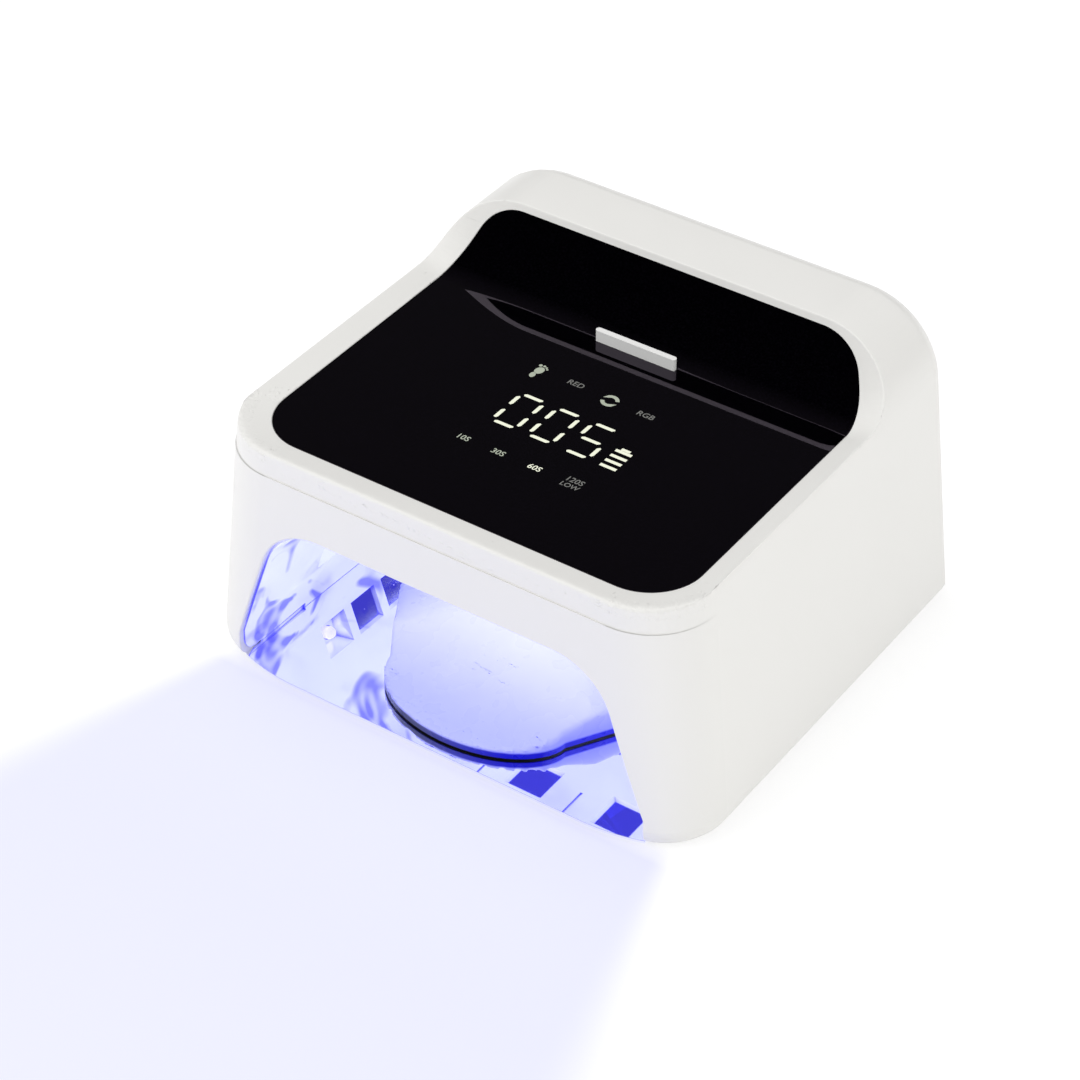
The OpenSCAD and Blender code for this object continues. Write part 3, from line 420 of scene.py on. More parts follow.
def platedWall():
    material, tree, shader, where = freshMaterial("reflectorPaintedLight")
    place = [n for n in tree.nodes if n.type == "TEX_COORD"][0]
    cornerOcclusion = tree.nodes.new("ShaderNodeAmbientOcclusion")
    cornerOcclusion.samples = plated["reachSamples"]
    cornerOcclusion.only_local = True
    cornerOcclusion.inputs["Distance"].default_value = plated["reach"]
    turned = tree.nodes.new("ShaderNodeVectorMath")
    turned.operation = "DOT_PRODUCT"
    turned.inputs[1].default_value = plated["toMouth"]
    tree.links.new(place.outputs["Normal"], turned.inputs[0])
    shadeFacingMouth = maths(tree, "ADD", maths(tree, "MAXIMUM", turned.outputs["Value"], 0.0),
                   plated["facingLeast"])
    shut = maths(tree, "SUBTRACT", 1.0, cornerOcclusion.outputs["AO"])
    dark = maths(tree, "MULTIPLY", maths(tree, "MULTIPLY", shut, shadeFacingMouth), plated["gain"], True)
    dark = ramp(tree, dark, *plated["shut"], 0, 1)
    # more painted shade: thin dark lines where it meets the tray and a deep-blue front edge; also deep-blue
    # streaks on its left part
    contactOcclusion = tree.nodes.new("ShaderNodeAmbientOcclusion")
    contactOcclusion.samples = plated["lineSamples"]
    contactOcclusion.inputs["Distance"].default_value = plated["lineReach"]
    line = ramp(tree, contactOcclusion.outputs["AO"], *plated["line"], plated["lineDeep"], 0)
    at = axes(tree, where)
    front = ramp(tree, at["Y"], *plated["front"], plated["frontDeep"], 0)
    uneven = noise(tree, where, plated["streaks"], 2, plated["streakRough"], plated["streakBend"])
    streak = maths(tree, "MULTIPLY", ramp(tree, uneven, *plated["streak"], 0, plated["streakDeep"]),
                   ramp(tree, at["X"], *plated["streakAlong"], 0, 1))
    # the contact lines, the front edge and the streaks darken the painted glow to deep blue
    for other in (line, front, streak):
        dark = maths(tree, "MAXIMUM", dark, other)
    # painted light: the glow colour, pale as lit wall, deep blue as painted shade
    shine = blendColours(tree, dark, plated["pale"], plated["paintedShadeGlow"])
    tree.links.new(shine, shader.inputs["Emission Color"])
    shader.inputs["Emission Strength"].default_value = 1
    # the base colour is darkened to deep blue by the same painted shade
    base = blendColours(tree, dark, plated["base"], plated["paintedShadeBase"])
    tree.links.new(base, shader.inputs["Base Color"])
    shader.inputs["Metallic"].default_value = plated["metallic"]
    waves = noise(tree, where, plated["waves"], 2)
    tree.links.new(ramp(tree, waves, *surface["middle"], *plated["rough"]), shader.inputs["Roughness"])
    grain(tree, shader, waves, plated["waveStrength"], plated["waveHigh"])
    return material


looks["reflector_chrome"] = platedWall()

# the rest: pale satin plastic with painted light: a blue glow over it, painted shade that makes it darker
# and bluer towards its foot, and a painted skirt of grey shade and blue light
restFinish = {"top": (0.80, 0.81, 0.66), "foot": (0.50, 0.53, 0.64), "heights": (8 * mm, 21 * mm),
              "mottle": 60, "mottleDepth": 0.03, "rough": 0.28, "roughSpan": 0.04, "roughScale": 90,
              "glow": (0.02, 0.02, 0.60), "skirtGlow": 0.15, "grain": 1600, "grainStrength": 0.05,
              "paintedSkirt": (7.2 * mm, 6.2 * mm), "skirtGrey": (0.10, 0.11, 0.16),
              "skirtBlue": (0.01, 0.01, 0.70), "skirtTurn": (-12 * mm, 26 * mm)}


def restPaintedLight():
    material, tree, shader, where = freshMaterial("restPaintedLight")
    at = axes(tree, where)
    # painted shade: darker and bluer towards its foot
    high = ramp(tree, at["Z"], *restFinish["heights"], 0, 1)
    uneven = ramp(tree, noise(tree, where, restFinish["mottle"], 2), *surface["middle"],
                  -restFinish["mottleDepth"], restFinish["mottleDepth"])
    mottled = maths(tree, "ADD", high, uneven, True)
    heightShade = blendColours(tree, mottled, restFinish["foot"], restFinish["top"])
    # painted skirt: grey shade on the left, blue light on the right
    turn = ramp(tree, at["X"], *restFinish["skirtTurn"], 0, 1)
    paintedSkirt = blendColours(tree, turn, restFinish["skirtGrey"], restFinish["skirtBlue"])
    low = ramp(tree, at["Z"], *restFinish["paintedSkirt"], 0, 1)
    both = tree.nodes.new("ShaderNodeMix")
    both.data_type = "RGBA"
    for socket, one in zip((both.inputs["Factor"], both.inputs[6], both.inputs[7]), (low, heightShade, paintedSkirt)):
        tree.links.new(one, socket)
    tree.links.new(both.outputs[2], shader.inputs["Base Color"])
    rough, span = restFinish["rough"], restFinish["roughSpan"]
    gloss = ramp(tree, noise(tree, where, restFinish["roughScale"], 2), *surface["middle"],
                 rough - span, rough + span)
    tree.links.new(gloss, shader.inputs["Roughness"])
    # painted light: a blue glow over the whole rest, weaker on the skirt
    shader.inputs["Emission Color"].default_value = (*restFinish["glow"], 1)
    tree.links.new(ramp(tree, low, 0, 1, 1, restFinish["skirtGlow"]), shader.inputs["Emission Strength"])
    fine = noise(tree, where, restFinish["grain"])
    grain(tree, shader, fine, restFinish["grainStrength"], surface["grainHigh"])
    return material


looks["rest_white"] = restPaintedLight()


# the panel: polished near-black, its backrest duller so that the rim doesn't show in it
panelFinish = {"dark": (0.0004, 0.0003, 0.0006), "speck": (0.0016, 0.0012, 0.0024), "specks": 1400,
               "speckSpan": (0.45, 0.75), "rough": (0.012, 0.03), "roughScale": 35,
               "tint": (0.88, 0.68, 1.0), "ior": 1.62, "shine": (0.42, 0.0),
               "heights": (105.3 * mm, 107.6 * mm)}


def panelBlack():
    material, tree, shader, where = freshMaterial("panelBlack")
    speck = ramp(tree, noise(tree, where, panelFinish["specks"], 1), *panelFinish["speckSpan"], 0, 1)
    colour = blendColours(tree, speck, panelFinish["dark"], panelFinish["speck"])
    tree.links.new(colour, shader.inputs["Base Color"])
    broad = noise(tree, where, panelFinish["roughScale"], 2)
    gloss = ramp(tree, broad, *surface["middle"], *panelFinish["rough"])
    tree.links.new(gloss, shader.inputs["Roughness"])
    shader.inputs["IOR"].default_value = panelFinish["ior"]
    shader.inputs["Specular Tint"].default_value = (*panelFinish["tint"], 1)
    at = axes(tree, where)
    tree.links.new(ramp(tree, at["Z"], *panelFinish["heights"], *panelFinish["shine"]),
                   shader.inputs["Specular IOR Level"])
    return material


lens = {"pale": (0.80, 0.80, 1.0), "violet": (0.55, 0.5, 1.0), "scale": 1200, "rough": 0.12,
        "glow": (0.62, 0.60, 1.0), "power": 0.9}
sleeve = {"blue": (0.02, 0.09, 0.36), "metal": (0.6, 0.6, 0.62), "ends": (64.8 * mm, 65.2 * mm),
          "rough": (0.22, 0.34), "roughScale": 300}
signFinish = {"scale": 900, "glowScale": 400, "rough": 0.4, "darker": 0.85}


def ledLens():
    material, tree, shader, where = freshMaterial("ledLens")
    tree.links.new(blendColours(tree, noise(tree, where, lens["scale"]), lens["pale"], lens["violet"]),
                   shader.inputs["Base Color"])
    shader.inputs["Roughness"].default_value = lens["rough"]
    shader.inputs["Emission Color"].default_value = (*lens["glow"], 1)
    shader.inputs["Emission Strength"].default_value = lens["power"]
    return material


def cellSleeve():
    material, tree, shader, where = freshMaterial("cellSleeve")
    at = axes(tree, where)
    away = maths(tree, "ABSOLUTE", at["X"], 0.0)
    ends = ramp(tree, away, *sleeve["ends"], 0, 1)
    tree.links.new(blendColours(tree, ends, sleeve["blue"], sleeve["metal"]), shader.inputs["Base Color"])
    gloss = ramp(tree, noise(tree, where, sleeve["roughScale"]), *surface["middle"], *sleeve["rough"])
    tree.links.new(gloss, shader.inputs["Roughness"])
    return material


def signLight(name, colour, strength):
    material, tree, shader, where = freshMaterial(name)
    darker = tuple(c * signFinish["darker"] for c in colour)
    for scale, socket in ((signFinish["scale"], "Base Color"), (signFinish["glowScale"], "Emission Color")):
        tree.links.new(blendColours(tree, noise(tree, where, scale), darker, colour), shader.inputs[socket])
    shader.inputs["Roughness"].default_value = signFinish["rough"]
    shader.inputs["Emission Strength"].default_value = strength
    return material


looks["panel_black"] = panelBlack()
looks["led_lens"] = ledLens()
looks["cell_sleeve"] = cellSleeve()
signLooks = {"bright": signLight("signBright", (0.70, 0.72, 0.58), 0.42),
             "middle": signLight("signMiddle", (0.42, 0.46, 0.37), 0.12),
             "dim": signLight("signDim", (0.20, 0.20, 0.19), 0.04)}

slotOf = {s["node"]: s["material_slot"] for s in frame["record"]["subparts"]}
for node, obj in nodes.items():
    stamp(obj, looks[slotOf[node]])
print("finishes set")


# housing, panel and stop
# widths of the small roundings: the lip round the panel, the mouth's outer edge, the dish and the foot
housingEdges = {"lip": 0.5 * mm, "mouth": 0.8 * mm, "dish": 0.3 * mm, "foot": 0.2 * mm, "segments": 3}
# where those edges lie, each as lowest and highest, and how far in a lip's face leans
edgePlaces = {"deck": 103 * mm, "lipSide": 80 * mm, "lipBack": 52 * mm, "lipFront": -80 * mm,
              "lipLean": -0.25, "mouthFront": -90 * mm, "mouthUp": (4 * mm, 82 * mm), "dishBack": 88 * mm,
              "dishUp": (30 * mm, 70 * mm), "footTop": 1.6 * mm, "straight": 0.9}
# the rim's outer ridge: how far the rounding reaches, its grid, and where it fades out up the hump and
# along the sides; a ridge is steeper than the angle, in degrees
ridge = {"reach": 5.5 * mm, "grid": 1.3 * mm, "grow": 0.9, "weld": 0.3 * mm, "passes": 34,
         "fade": (109 * mm, 126 * mm), "along": (-92 * mm, -76 * mm), "angle": 60, "smooth": 35}
ridgePlaces = {"side": 90 * mm, "front": -88 * mm, "skinFrom": 96 * mm, "level": 0.6, "outward": 0.02}
# how a softened ridge is worked: rounds of cutting, how far the weld goes, how fast the share grows
softening = {"rounds": 10, "weldReach": 1.5, "rise": 1.6, "factor": 0.5}


def housingRule(at, first, second):
    places = edgePlaces
    beside = abs(at.x) > places["lipSide"] or at.y > places["lipBack"] or at.y < places["lipFront"]
    if at.z > places["deck"] and beside:
        inward = min(n.x * at.x + n.y * at.y for n in (first, second)) / Vector((at.x, at.y)).length
        return housingEdges["lip"] if inward < places["lipLean"] else 0
    low, high = places["mouthUp"]
    if at.y < places["mouthFront"] and low < at.z < high and min(first.y, second.y) < -places["straight"]:
        return housingEdges["mouth"]
    low, high = places["dishUp"]
    if at.y > places["dishBack"] and low < at.z < high and max(first.y, second.y) > places["straight"]:
        return housingEdges["dish"]
    if at.z < places["footTop"] and min(first.z, second.z) < -places["straight"]:
        return housingEdges["foot"]
    return 0


def onRim(at):
    return at.z > edgePlaces["deck"] and (abs(at.x) > ridgePlaces["side"] or at.y < ridgePlaces["front"])


# how far a face looks away from the middle, or from the point given
def outward(face, at):
    return face.normal.x * at.x + face.normal.y * at.y


def rimSkin(face):
    at = face.calc_center_median()
    if at.z <= ridgePlaces["skinFrom"]:
        return False
    return face.normal.z > ridgePlaces["level"] or outward(face, at) > ridgePlaces["outward"]


def rise(value, low, high):
    return min(max((value - low) / (high - low), 0), 1)


# rounds an outer ridge widely: its skin gets a fine grid there, which is then smoothed
def softenRidge(obj, sizes, onRidge, skin):
    bm = bmesh.new()
    bm.from_mesh(obj.data)
    spots = []
    for edge in bm.edges:
        at = (edge.verts[0].co + edge.verts[1].co) / 2
        if len(edge.link_faces) == 2 and onRidge(at) and edge.is_convex:
            steep = edge.calc_face_angle(0) > math.radians(sizes["angle"])
            if steep and all(skin(f) for f in edge.link_faces):
                steps = max(int(edge.calc_length() / mm), 1)
                spots += [edge.verts[0].co.lerp(edge.verts[1].co, k / steps) for k in range(steps + 1)]
    tree = kdtree.KDTree(len(spots))
    for k, spot in enumerate(spots):
        tree.insert(spot, k)
    tree.balance()

    def far(spot):
        return tree.find(spot)[2]

    for step in range(softening["rounds"]):
        bmesh.ops.triangulate(bm, faces=[f for f in bm.faces if len(f.verts) > 3 and skin(f)])
        long = []
        for edge in bm.edges:
            at = (edge.verts[0].co + edge.verts[1].co) / 2
            longest = sizes["grid"] + sizes["grow"] * max(far(at) - sizes["reach"], 0)
            if edge.calc_length() > longest and any(skin(f) for f in edge.link_faces):
                long.append(edge)
        if not long:
            break
        bmesh.ops.subdivide_edges(bm, edges=long, cuts=1)
    wide = sizes["reach"] * softening["weldReach"]
    near = [v for v in bm.verts if far(v.co) < wide and all(skin(f) for f in v.link_faces)]
    bmesh.ops.remove_doubles(bm, verts=near, dist=sizes["weld"])
    shares = []
    for v in bm.verts:
        share = 1 - far(v.co) / sizes["reach"] if all(skin(f) for f in v.link_faces) else 0
        share = min(max(share * softening["rise"], 0), 1)
        share *= rise(v.co.z, *reversed(sizes["fade"])) * rise(v.co.y, *reversed(sizes["along"]))
        shares.append(share * share * (3 - 2 * share))
    bm.to_mesh(obj.data)
    bm.free()
    group = obj.vertex_groups.new(name="ridge")
    for k, share in enumerate(shares):
        if share > 0:
            group.add([k], share, "REPLACE")
    soft = obj.modifiers.new("soft", "SMOOTH")
    soft.factor = softening["factor"]
    soft.iterations = sizes["passes"]
    soft.vertex_group = "ridge"
    return evenNormals(smoothBy(settle(obj), sizes["smooth"]))


housing = mergedCopy("housing", "white_housing")
roundedBy(housing, housingRule, housingEdges["mouth"], housingEdges["segments"])
softenRidge(housing, ridge, onRim, rimSkin)
stamp(housing, looks["housing_white"])
standFor(housing, "lamp", "housing_white", "housing")


# a bevelled copy that stands for its node: the edges' width, segments and least angle in degrees
def roundedPiece(name, node, width, segments, angle):
    piece = rounded(mergedCopy(node, name), width, segments, angle)
    stamp(piece, looks[slotOf[node]])
    return standFor(piece, nodes[node]["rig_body"], slotOf[node], node)


panelEdges = {"width": 0.25 * mm, "segments": 2, "angle": 40}
stopEdges = {"width": 0.5 * mm, "segments": 3, "angle": 40}
roundedPiece("black_panel", "touch_panel", **panelEdges)
roundedPiece("white_stop", "phone_stop", **stopEdges)
print("housing, panel and stop made")


# signs lit behind the panel
signs = {"thick": 0.03 * mm, "depth": 2.4 * mm, "digitPitch": 16.1 * mm, "digitX": 0.45 * mm,
         "digitY": -20.4 * mm, "digitWide": 12.0 * mm, "digitHigh": 21.0 * mm,
         "bar": 1.55 * mm, "gap": 2.2 * mm, "uprightGap": 1.6, "batteryX": 30.6 * mm,
         "segmentEnds": (0.2, 1.2, 0.4), "labelHigh": 3.9 * mm, "lowShare": 0.85, "shear": 0.08,
         "bolder": 0.04 * mm, "letterSteps": 3}
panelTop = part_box("touch_panel")[0].z + signs["depth"]


# thin plates on the panel, one for each outline of (x, y) points
def platePiece(name, outlines, light="bright"):
    bm = bmesh.new()
    for points in outlines:
        low = [bm.verts.new((x, y, panelTop)) for x, y in points]
        face = bm.faces.new(low)
        made = bmesh.ops.extrude_face_region(bm, geom=[face])
        for v in made["geom"]:
            if isinstance(v, bmesh.types.BMVert):
                v.co.z += signs["thick"]
    bmesh.ops.recalc_face_normals(bm, faces=bm.faces)
    mesh = bpy.data.meshes.new(name)
    bm.to_mesh(mesh)
    bm.free()
    obj = stamp(meshPiece(name, mesh), signLooks[light])
    return standFor(obj, "lamp", "display_block")


def segmentPoints(cx, cy, length, upright):
    h, w = length / 2, signs["bar"] / 2
    tip, long, short = (w * share for share in signs["segmentEnds"])
    points = [(-h, tip), (-h + long, w), (h - short, w), (h, tip), (h - long, -w), (-h + short, -w)]
    if upright:
        points = [(y, x) for x, y in points][::-1]
    return [(cx + x, cy + y) for x, y in points]


def digit(cx, lit):
    w, h = signs["digitWide"] / 2 - signs["bar"] / 2, signs["digitHigh"] / 2 - signs["bar"] / 2
    y0 = signs["digitY"]
    across = 2 * w - signs["gap"]
    up = h - signs["gap"] * signs["uprightGap"]
    spots = {"a": (0, h, across, False), "g": (0, 0, across, False), "d": (0, -h, across, False),
             "f": (-w, h / 2, up, True), "b": (w, h / 2, up, True), "e": (-w, -h / 2, up, True),
             "c": (w, -h / 2, up, True)}
    return [segmentPoints(cx + x, y0 + y, length, upright)
            for k, (x, y, length, upright) in spots.items() if k in lit]


def circlePoints(cx, cy, rx, ry, turn=0.0, count=28):
    spots = []
    for i in range(count):
        a = 2 * math.pi * i / count
        x, y = rx * math.cos(a), ry * math.sin(a)
        spots.append((cx + x * math.cos(turn) - y * math.sin(turn),
                      cy + x * math.sin(turn) + y * math.cos(turn)))
    return spots


def rect(cx, cy, w, h):
    corners = ((-1, -1), (1, -1), (1, 1), (-1, 1))
    return [(cx + x * w / 2, cy + y * h / 2) for x, y in corners]


# the two-arrow sign: its middle, radius and band, and the degrees that its bands go round
arrows = {"at": (8.6 * mm, 4.1 * mm), "radius": 2.5 * mm, "band": 1.1 * mm, "inner": 0.4,
          "turn": (20, 130, 10), "point": (0.95, 0.25)}


# half of it: a quarter band that ends in a point
def bentArrow(cx, cy, side):
    r, t = arrows["radius"], arrows["band"]
    start, end, step = arrows["turn"]
    band = [(r + t, a) for a in range(start, end + 1, step)]
    band += [None]
    band += [(r - t * arrows["inner"], a) for a in range(end, start - 1, -step)]
    back, up = arrows["point"]
    spots = []
    for one in band:
        if one:
            q, a = one[0], math.radians(one[1])
            spots.append((q * math.cos(a), q * math.sin(a)))
        else:
            spots.append((-r * back - t, r * up))
    return [(cx + side * x, cy + side * y) for x, y in spots]


# the bars that are lit in each of the three digits
digits = []
for i, lit in enumerate(("abcdef", "abcdef", "acdfg")):
    digits += digit(signs["digitX"] + (i - 1) * signs["digitPitch"], lit)
platePiece("sign_digits", digits)

# in millimetres: the battery's bars, and the foot's sole, heel and toes as (x, y, radius or radii, turn)
bars = {"rows": (-30.1, -26.7, -23.3, -19.9), "bar": (7.0, 1.5), "capRow": -18.35, "cap": (3.8, 1.4)}
foot = {"at": (-24.4, 4.2), "pads": ((0.4, 1.0, 1.75, 2.3, -0.2), (-0.3, -2.6, 1.15, 1.7, 0.1)),
        "toes": ((-1.0, 4.0, 0.75), (0.6, 4.3, 0.6), (1.8, 3.8, 0.5), (2.6, 3.0, 0.45)), "toePoints": 12}

bx = signs["batteryX"]
platePiece("sign_battery", [rect(bx, y * mm, *(v * mm for v in bars["bar"])) for y in bars["rows"]]
           + [rect(bx, bars["capRow"] * mm, *(v * mm for v in bars["cap"]))])
footX, footY = (v * mm for v in foot["at"])
platePiece("sign_foot", [circlePoints(footX + x * mm, footY + y * mm, rx * mm, ry * mm, turn)
                         for x, y, rx, ry, turn in foot["pads"]]
           + [circlePoints(footX + x * mm, footY + y * mm, r * mm, r * mm, 0, foot["toePoints"])
              for x, y, r in foot["toes"]], "middle")
platePiece("sign_arrows", [bentArrow(*arrows["at"], side) for side in (1, -1)], "middle")


def label(name, words, cx, cy, high, light):
    curve = bpy.data.curves.new(name, "FONT")
    curve.body = words
    curve.size = high
    curve.shear = signs["shear"]
    curve.offset = signs["bolder"]
    curve.extrude = signs["thick"] / 2
    curve.align_x = "CENTER"
    curve.align_y = "CENTER"
    curve.resolution_u = signs["letterSteps"]
    text = link(bpy.data.objects.new(name + "_text", curve))
    mesh = bpy.data.meshes.new_from_object(text.evaluated_get(bpy.context.evaluated_depsgraph_get()))
    bpy.data.objects.remove(text)
    mesh.transform(Matrix.Translation((cx, cy, panelTop + signs["thick"] / 2)))
    obj = stamp(meshPiece(name, mesh), signLooks[light])
    return standFor(obj, "lamp", "display_block")


# each word, its x and y in millimetres, and how brightly it is lit
labels = (("10S", -23.2, -45.3, "middle"), ("30S", -7.4, -45.5, "middle"), ("60S", 8.8, -45.6, "bright"),
          ("120S", 25.3, -43.9, "dim"), ("LOW", 25.3, -47.4, "dim"), ("RED", -7.8, 5.7, "dim"),
          ("RGB", 24.5, 3.9, "dim"))
for words, x, y, light in labels:
    share = signs["lowShare"] if words == "LOW" else 1
    label("sign_" + words.lower(), words, x * mm, y * mm, signs["labelHigh"] * share, light)
print("display signs made")


# chamber
linerEdges = {"width": 0.2 * mm, "segments": 2, "angle": 35}
trayEdges = {"width": 0.15 * mm, "segments": 2, "angle": 50}
roundedPiece("plated_reflector", "reflector", **linerEdges)
roundedPiece("mirror_tray", "base_tray", **trayEdges)

# the rest: its upper edge is rounded widely, down to just above the gasket
restEdge = {"reach": 6.0 * mm, "grid": 1.1 * mm, "grow": 0.7, "weld": 0.25 * mm, "passes": 46,
            "fade": (30 * mm, 31 * mm), "along": (1, 2), "angle": 30, "smooth": 50}
restPlaces = {"from": 6.5 * mm, "middle": (0, -45 * mm, 0), "level": 0.3, "outward": 0.006}


def onRest(at):
    return at.z > restPlaces["from"]


def restSkin(face):
    upright = abs(face.normal.z) < restPlaces["level"]
    away = outward(face, face.calc_center_median() - Vector(restPlaces["middle"]))
    return face.normal.z > restPlaces["level"] or (upright and away > restPlaces["outward"])


rest = mergedCopy("hand_rest", "pale_rest")
softenRidge(rest, restEdge, onRest, restSkin)
stamp(rest, looks["rest_white"])
standFor(rest, "tray", "rest_white", "hand_rest")

chamberLamp = {"size": (0.12, 0.12), "place": (0, -0.005, 0.0655), "power": 0.034,
               "colour": (0.80, 0.81, 1.0)}
data = bpy.data.lights.new("chamberGlow", "AREA")
data.shape = "RECTANGLE"
data.size, data.size_y = chamberLamp["size"]
data.energy = chamberLamp["power"]
data.color = chamberLamp["colour"]
glow = link(bpy.data.objects.new("chamberGlow", data))
glow.location = chamberLamp["place"]
glow.visible_camera = False
glow.visible_glossy = False
print("chamber made")


# small parts that repeat


# the separate solids of a CAD node: their points, and the middle and direction of the largest flat face
def looseParts(node):
    bm = welded(node)
    seen, parts = set(), []
    for start in bm.verts:
        if start in seen:
            continue
        group = [start]
        seen.add(start)
        for v in group:
            for edge in v.link_edges:
                other = edge.other_vert(v)
                if other not in seen:
                    seen.add(other)
                    group.append(other)
        cap = max({f for v in group for f in v.link_faces}, key=lambda f: f.calc_area())
        parts.append(([v.co.copy() for v in group], cap.calc_center_median(), cap.normal.copy()))
    bm.free()
    return parts


# how far each point lies along the cap's direction, and how far from its axis
def alongCap(points, middle, way):
    return [((p - middle).dot(way), ((p - middle) - way * (p - middle).dot(way)).length) for p in points]


def newTree(name, **sizes):
    tree = bpy.data.node_groups.new(name, "GeometryNodeTree")
    tree.interface.new_socket("Geometry", in_out="INPUT", socket_type="NodeSocketGeometry")
    tree.interface.new_socket("Geometry", in_out="OUTPUT", socket_type="NodeSocketGeometry")
    for size, value in sizes.items():
        tree.interface.new_socket(size, in_out="INPUT", socket_type="NodeSocketFloat").default_value = value
    enter = tree.nodes.new("NodeGroupInput")
    return tree, enter


# a node with its settings and its inputs, each a number or another node's socket
def put(tree, kind, settings=None, **wires):
    node = tree.nodes.new(kind)
    for key, value in (settings or {}).items():
        setattr(node, key, value)
    for key, value in wires.items():
        socket = node.inputs[key.replace("_", " ")]
        for one in value if isinstance(value, list) else [value]:
            if isinstance(one, bpy.types.NodeSocket):
                tree.links.new(one, socket)
            else:
                socket.default_value = one
    return node


def scaled(tree, value, by):
    return maths(tree, "MULTIPLY", value, by)


def circle(tree, radius, points):
    kind = "GeometryNodeCurvePrimitiveCircle"
    return put(tree, kind, {"mode": "RADIUS"}, Resolution=points, Radius=radius).outputs[0]


def swept(tree, curve, profile, **wires):
    return put(tree, "GeometryNodeCurveToMesh", Curve=curve, Profile_Curve=profile, **wires).outputs[0]


def lifted(tree, geometry, height):
    place = put(tree, "ShaderNodeCombineXYZ", Z=height)
    return put(tree, "GeometryNodeTransform", Geometry=geometry, Translation=place.outputs[0]).outputs[0]


# ends a tree: the shapes joined, set on each point with its turn, made real and given their finish
def spread(tree, enter, shapes, material):
    whole = put(tree, "GeometryNodeJoinGeometry", Geometry=shapes).outputs[0]
    turn = put(tree, "GeometryNodeInputNamedAttribute", {"data_type": "FLOAT_VECTOR"}, Name="turn")
    rotation = put(tree, "FunctionNodeEulerToRotation", Euler=turn.outputs[0])
    placed = put(tree, "GeometryNodeInstanceOnPoints", Points=enter.outputs["Geometry"], Instance=whole,
                 Rotation=rotation.outputs[0])
    real = put(tree, "GeometryNodeRealizeInstances", Geometry=placed.outputs[0])
    coat = put(tree, "GeometryNodeSetMaterial", Geometry=real.outputs[0], Material=material)
    out = tree.nodes.new("NodeGroupOutput")
    tree.links.new(coat.outputs[0], out.inputs[0])
    return tree


# shares of the head's or the shaft's width, and of the head's height or the grip; smooth is in degrees
screwShares = {"headPoints": 32, "top": 0.40, "cross": (0.56, 0.13), "crossUp": 0.95,
               "corePoints": 20, "core": 0.42, "turnPoints": 20, "thread": 0.43, "crest": 0.065,
               "crestPoints": 4, "threadHigh": 0.86, "threadDown": -0.97, "pitch": 0.3, "seat": 0.45,
               "smooth": 35}


# a pan-head screw with a cross recess and a thread: its seat at the origin, its head up
def screwTree(material):
    part = screwShares
    tree, enter = newTree("screws", HeadWide=4 * mm, HeadHigh=1.2 * mm, ShaftWide=2 * mm,
                          Grip=6 * mm, Turns=8.0)
    wide, high, shaft, grip, turns = (enter.outputs[k]
                                      for k in ("HeadWide", "HeadHigh", "ShaftWide", "Grip", "Turns"))
    head = put(tree, "GeometryNodeMeshCone", Vertices=part["headPoints"],
               Radius_Top=scaled(tree, wide, part["top"]), Radius_Bottom=scaled(tree, wide, 0.5),
               Depth=high).outputs[0]
    cut = put(tree, "GeometryNodeMeshBoolean", {"operation": "DIFFERENCE"})
    tree.links.new(head, cut.inputs["Mesh 1"])
    for long, narrow in (part["cross"], part["cross"][::-1]):
        size = put(tree, "ShaderNodeCombineXYZ", X=scaled(tree, wide, long), Y=scaled(tree, wide, narrow),
                   Z=high)
        bar = put(tree, "GeometryNodeMeshCube", Size=size.outputs[0]).outputs[0]
        tree.links.new(lifted(tree, bar, scaled(tree, high, part["crossUp"])), cut.inputs["Mesh 2"])
    core = put(tree, "GeometryNodeMeshCylinder", Vertices=part["corePoints"],
               Radius=scaled(tree, shaft, part["core"]), Depth=grip).outputs[0]
    radius = scaled(tree, shaft, part["thread"])
    coilHigh = scaled(tree, grip, part["threadHigh"])
    coil = put(tree, "GeometryNodeCurveSpiral", Resolution=part["turnPoints"], Rotations=turns,
               Start_Radius=radius, End_Radius=radius, Height=coilHigh).outputs[0]
    thread = swept(tree, coil, circle(tree, scaled(tree, shaft, part["crest"]), part["crestPoints"]),
                   Fill_Caps=True)
    shapes = [lifted(tree, cut.outputs[0], 0.0), lifted(tree, core, scaled(tree, grip, -0.5)),
              lifted(tree, thread, scaled(tree, grip, part["threadDown"]))]
    return spread(tree, enter, shapes, material)


# a touch key's coil spring, standing on the origin
coilSizes = {"wire": 0.55 * mm, "turns": 5.0, "turnPoints": 24, "wirePoints": 8, "smooth": 60}


def coilTree(material):
    tree, enter = newTree("coils", Wide=6 * mm, High=4 * mm, Wire=0.5 * mm, Turns=5.0)
    wide, high, wire, turns = (enter.outputs[k] for k in ("Wide", "High", "Wire", "Turns"))
    radius = scaled(tree, maths(tree, "SUBTRACT", wide, wire), 0.5)
    coilHigh = maths(tree, "SUBTRACT", high, wire)
    coil = put(tree, "GeometryNodeCurveSpiral", Resolution=coilSizes["turnPoints"], Rotations=turns,
               Start_Radius=radius, End_Radius=radius, Height=coilHigh).outputs[0]
    wireRound = circle(tree, scaled(tree, wire, 0.5), coilSizes["wirePoints"])
    wound = swept(tree, coil, wireRound, Fill_Caps=True)
    return spread(tree, enter, [lifted(tree, wound, scaled(tree, wire, 0.5))], material)


# an LED: a collar through the liner, a rim and a domed lens that looks down; shares of its width
ledShares = {"points": 40, "collar": 0.47, "rim": 0.44, "bead": 0.055, "beadPoints": 8, "beadDown": -0.8,
             "ballSegments": 32, "ballRings": 16}
ledSizes = {"back": 1.6 * mm, "front": 1.6 * mm, "smooth": 40}


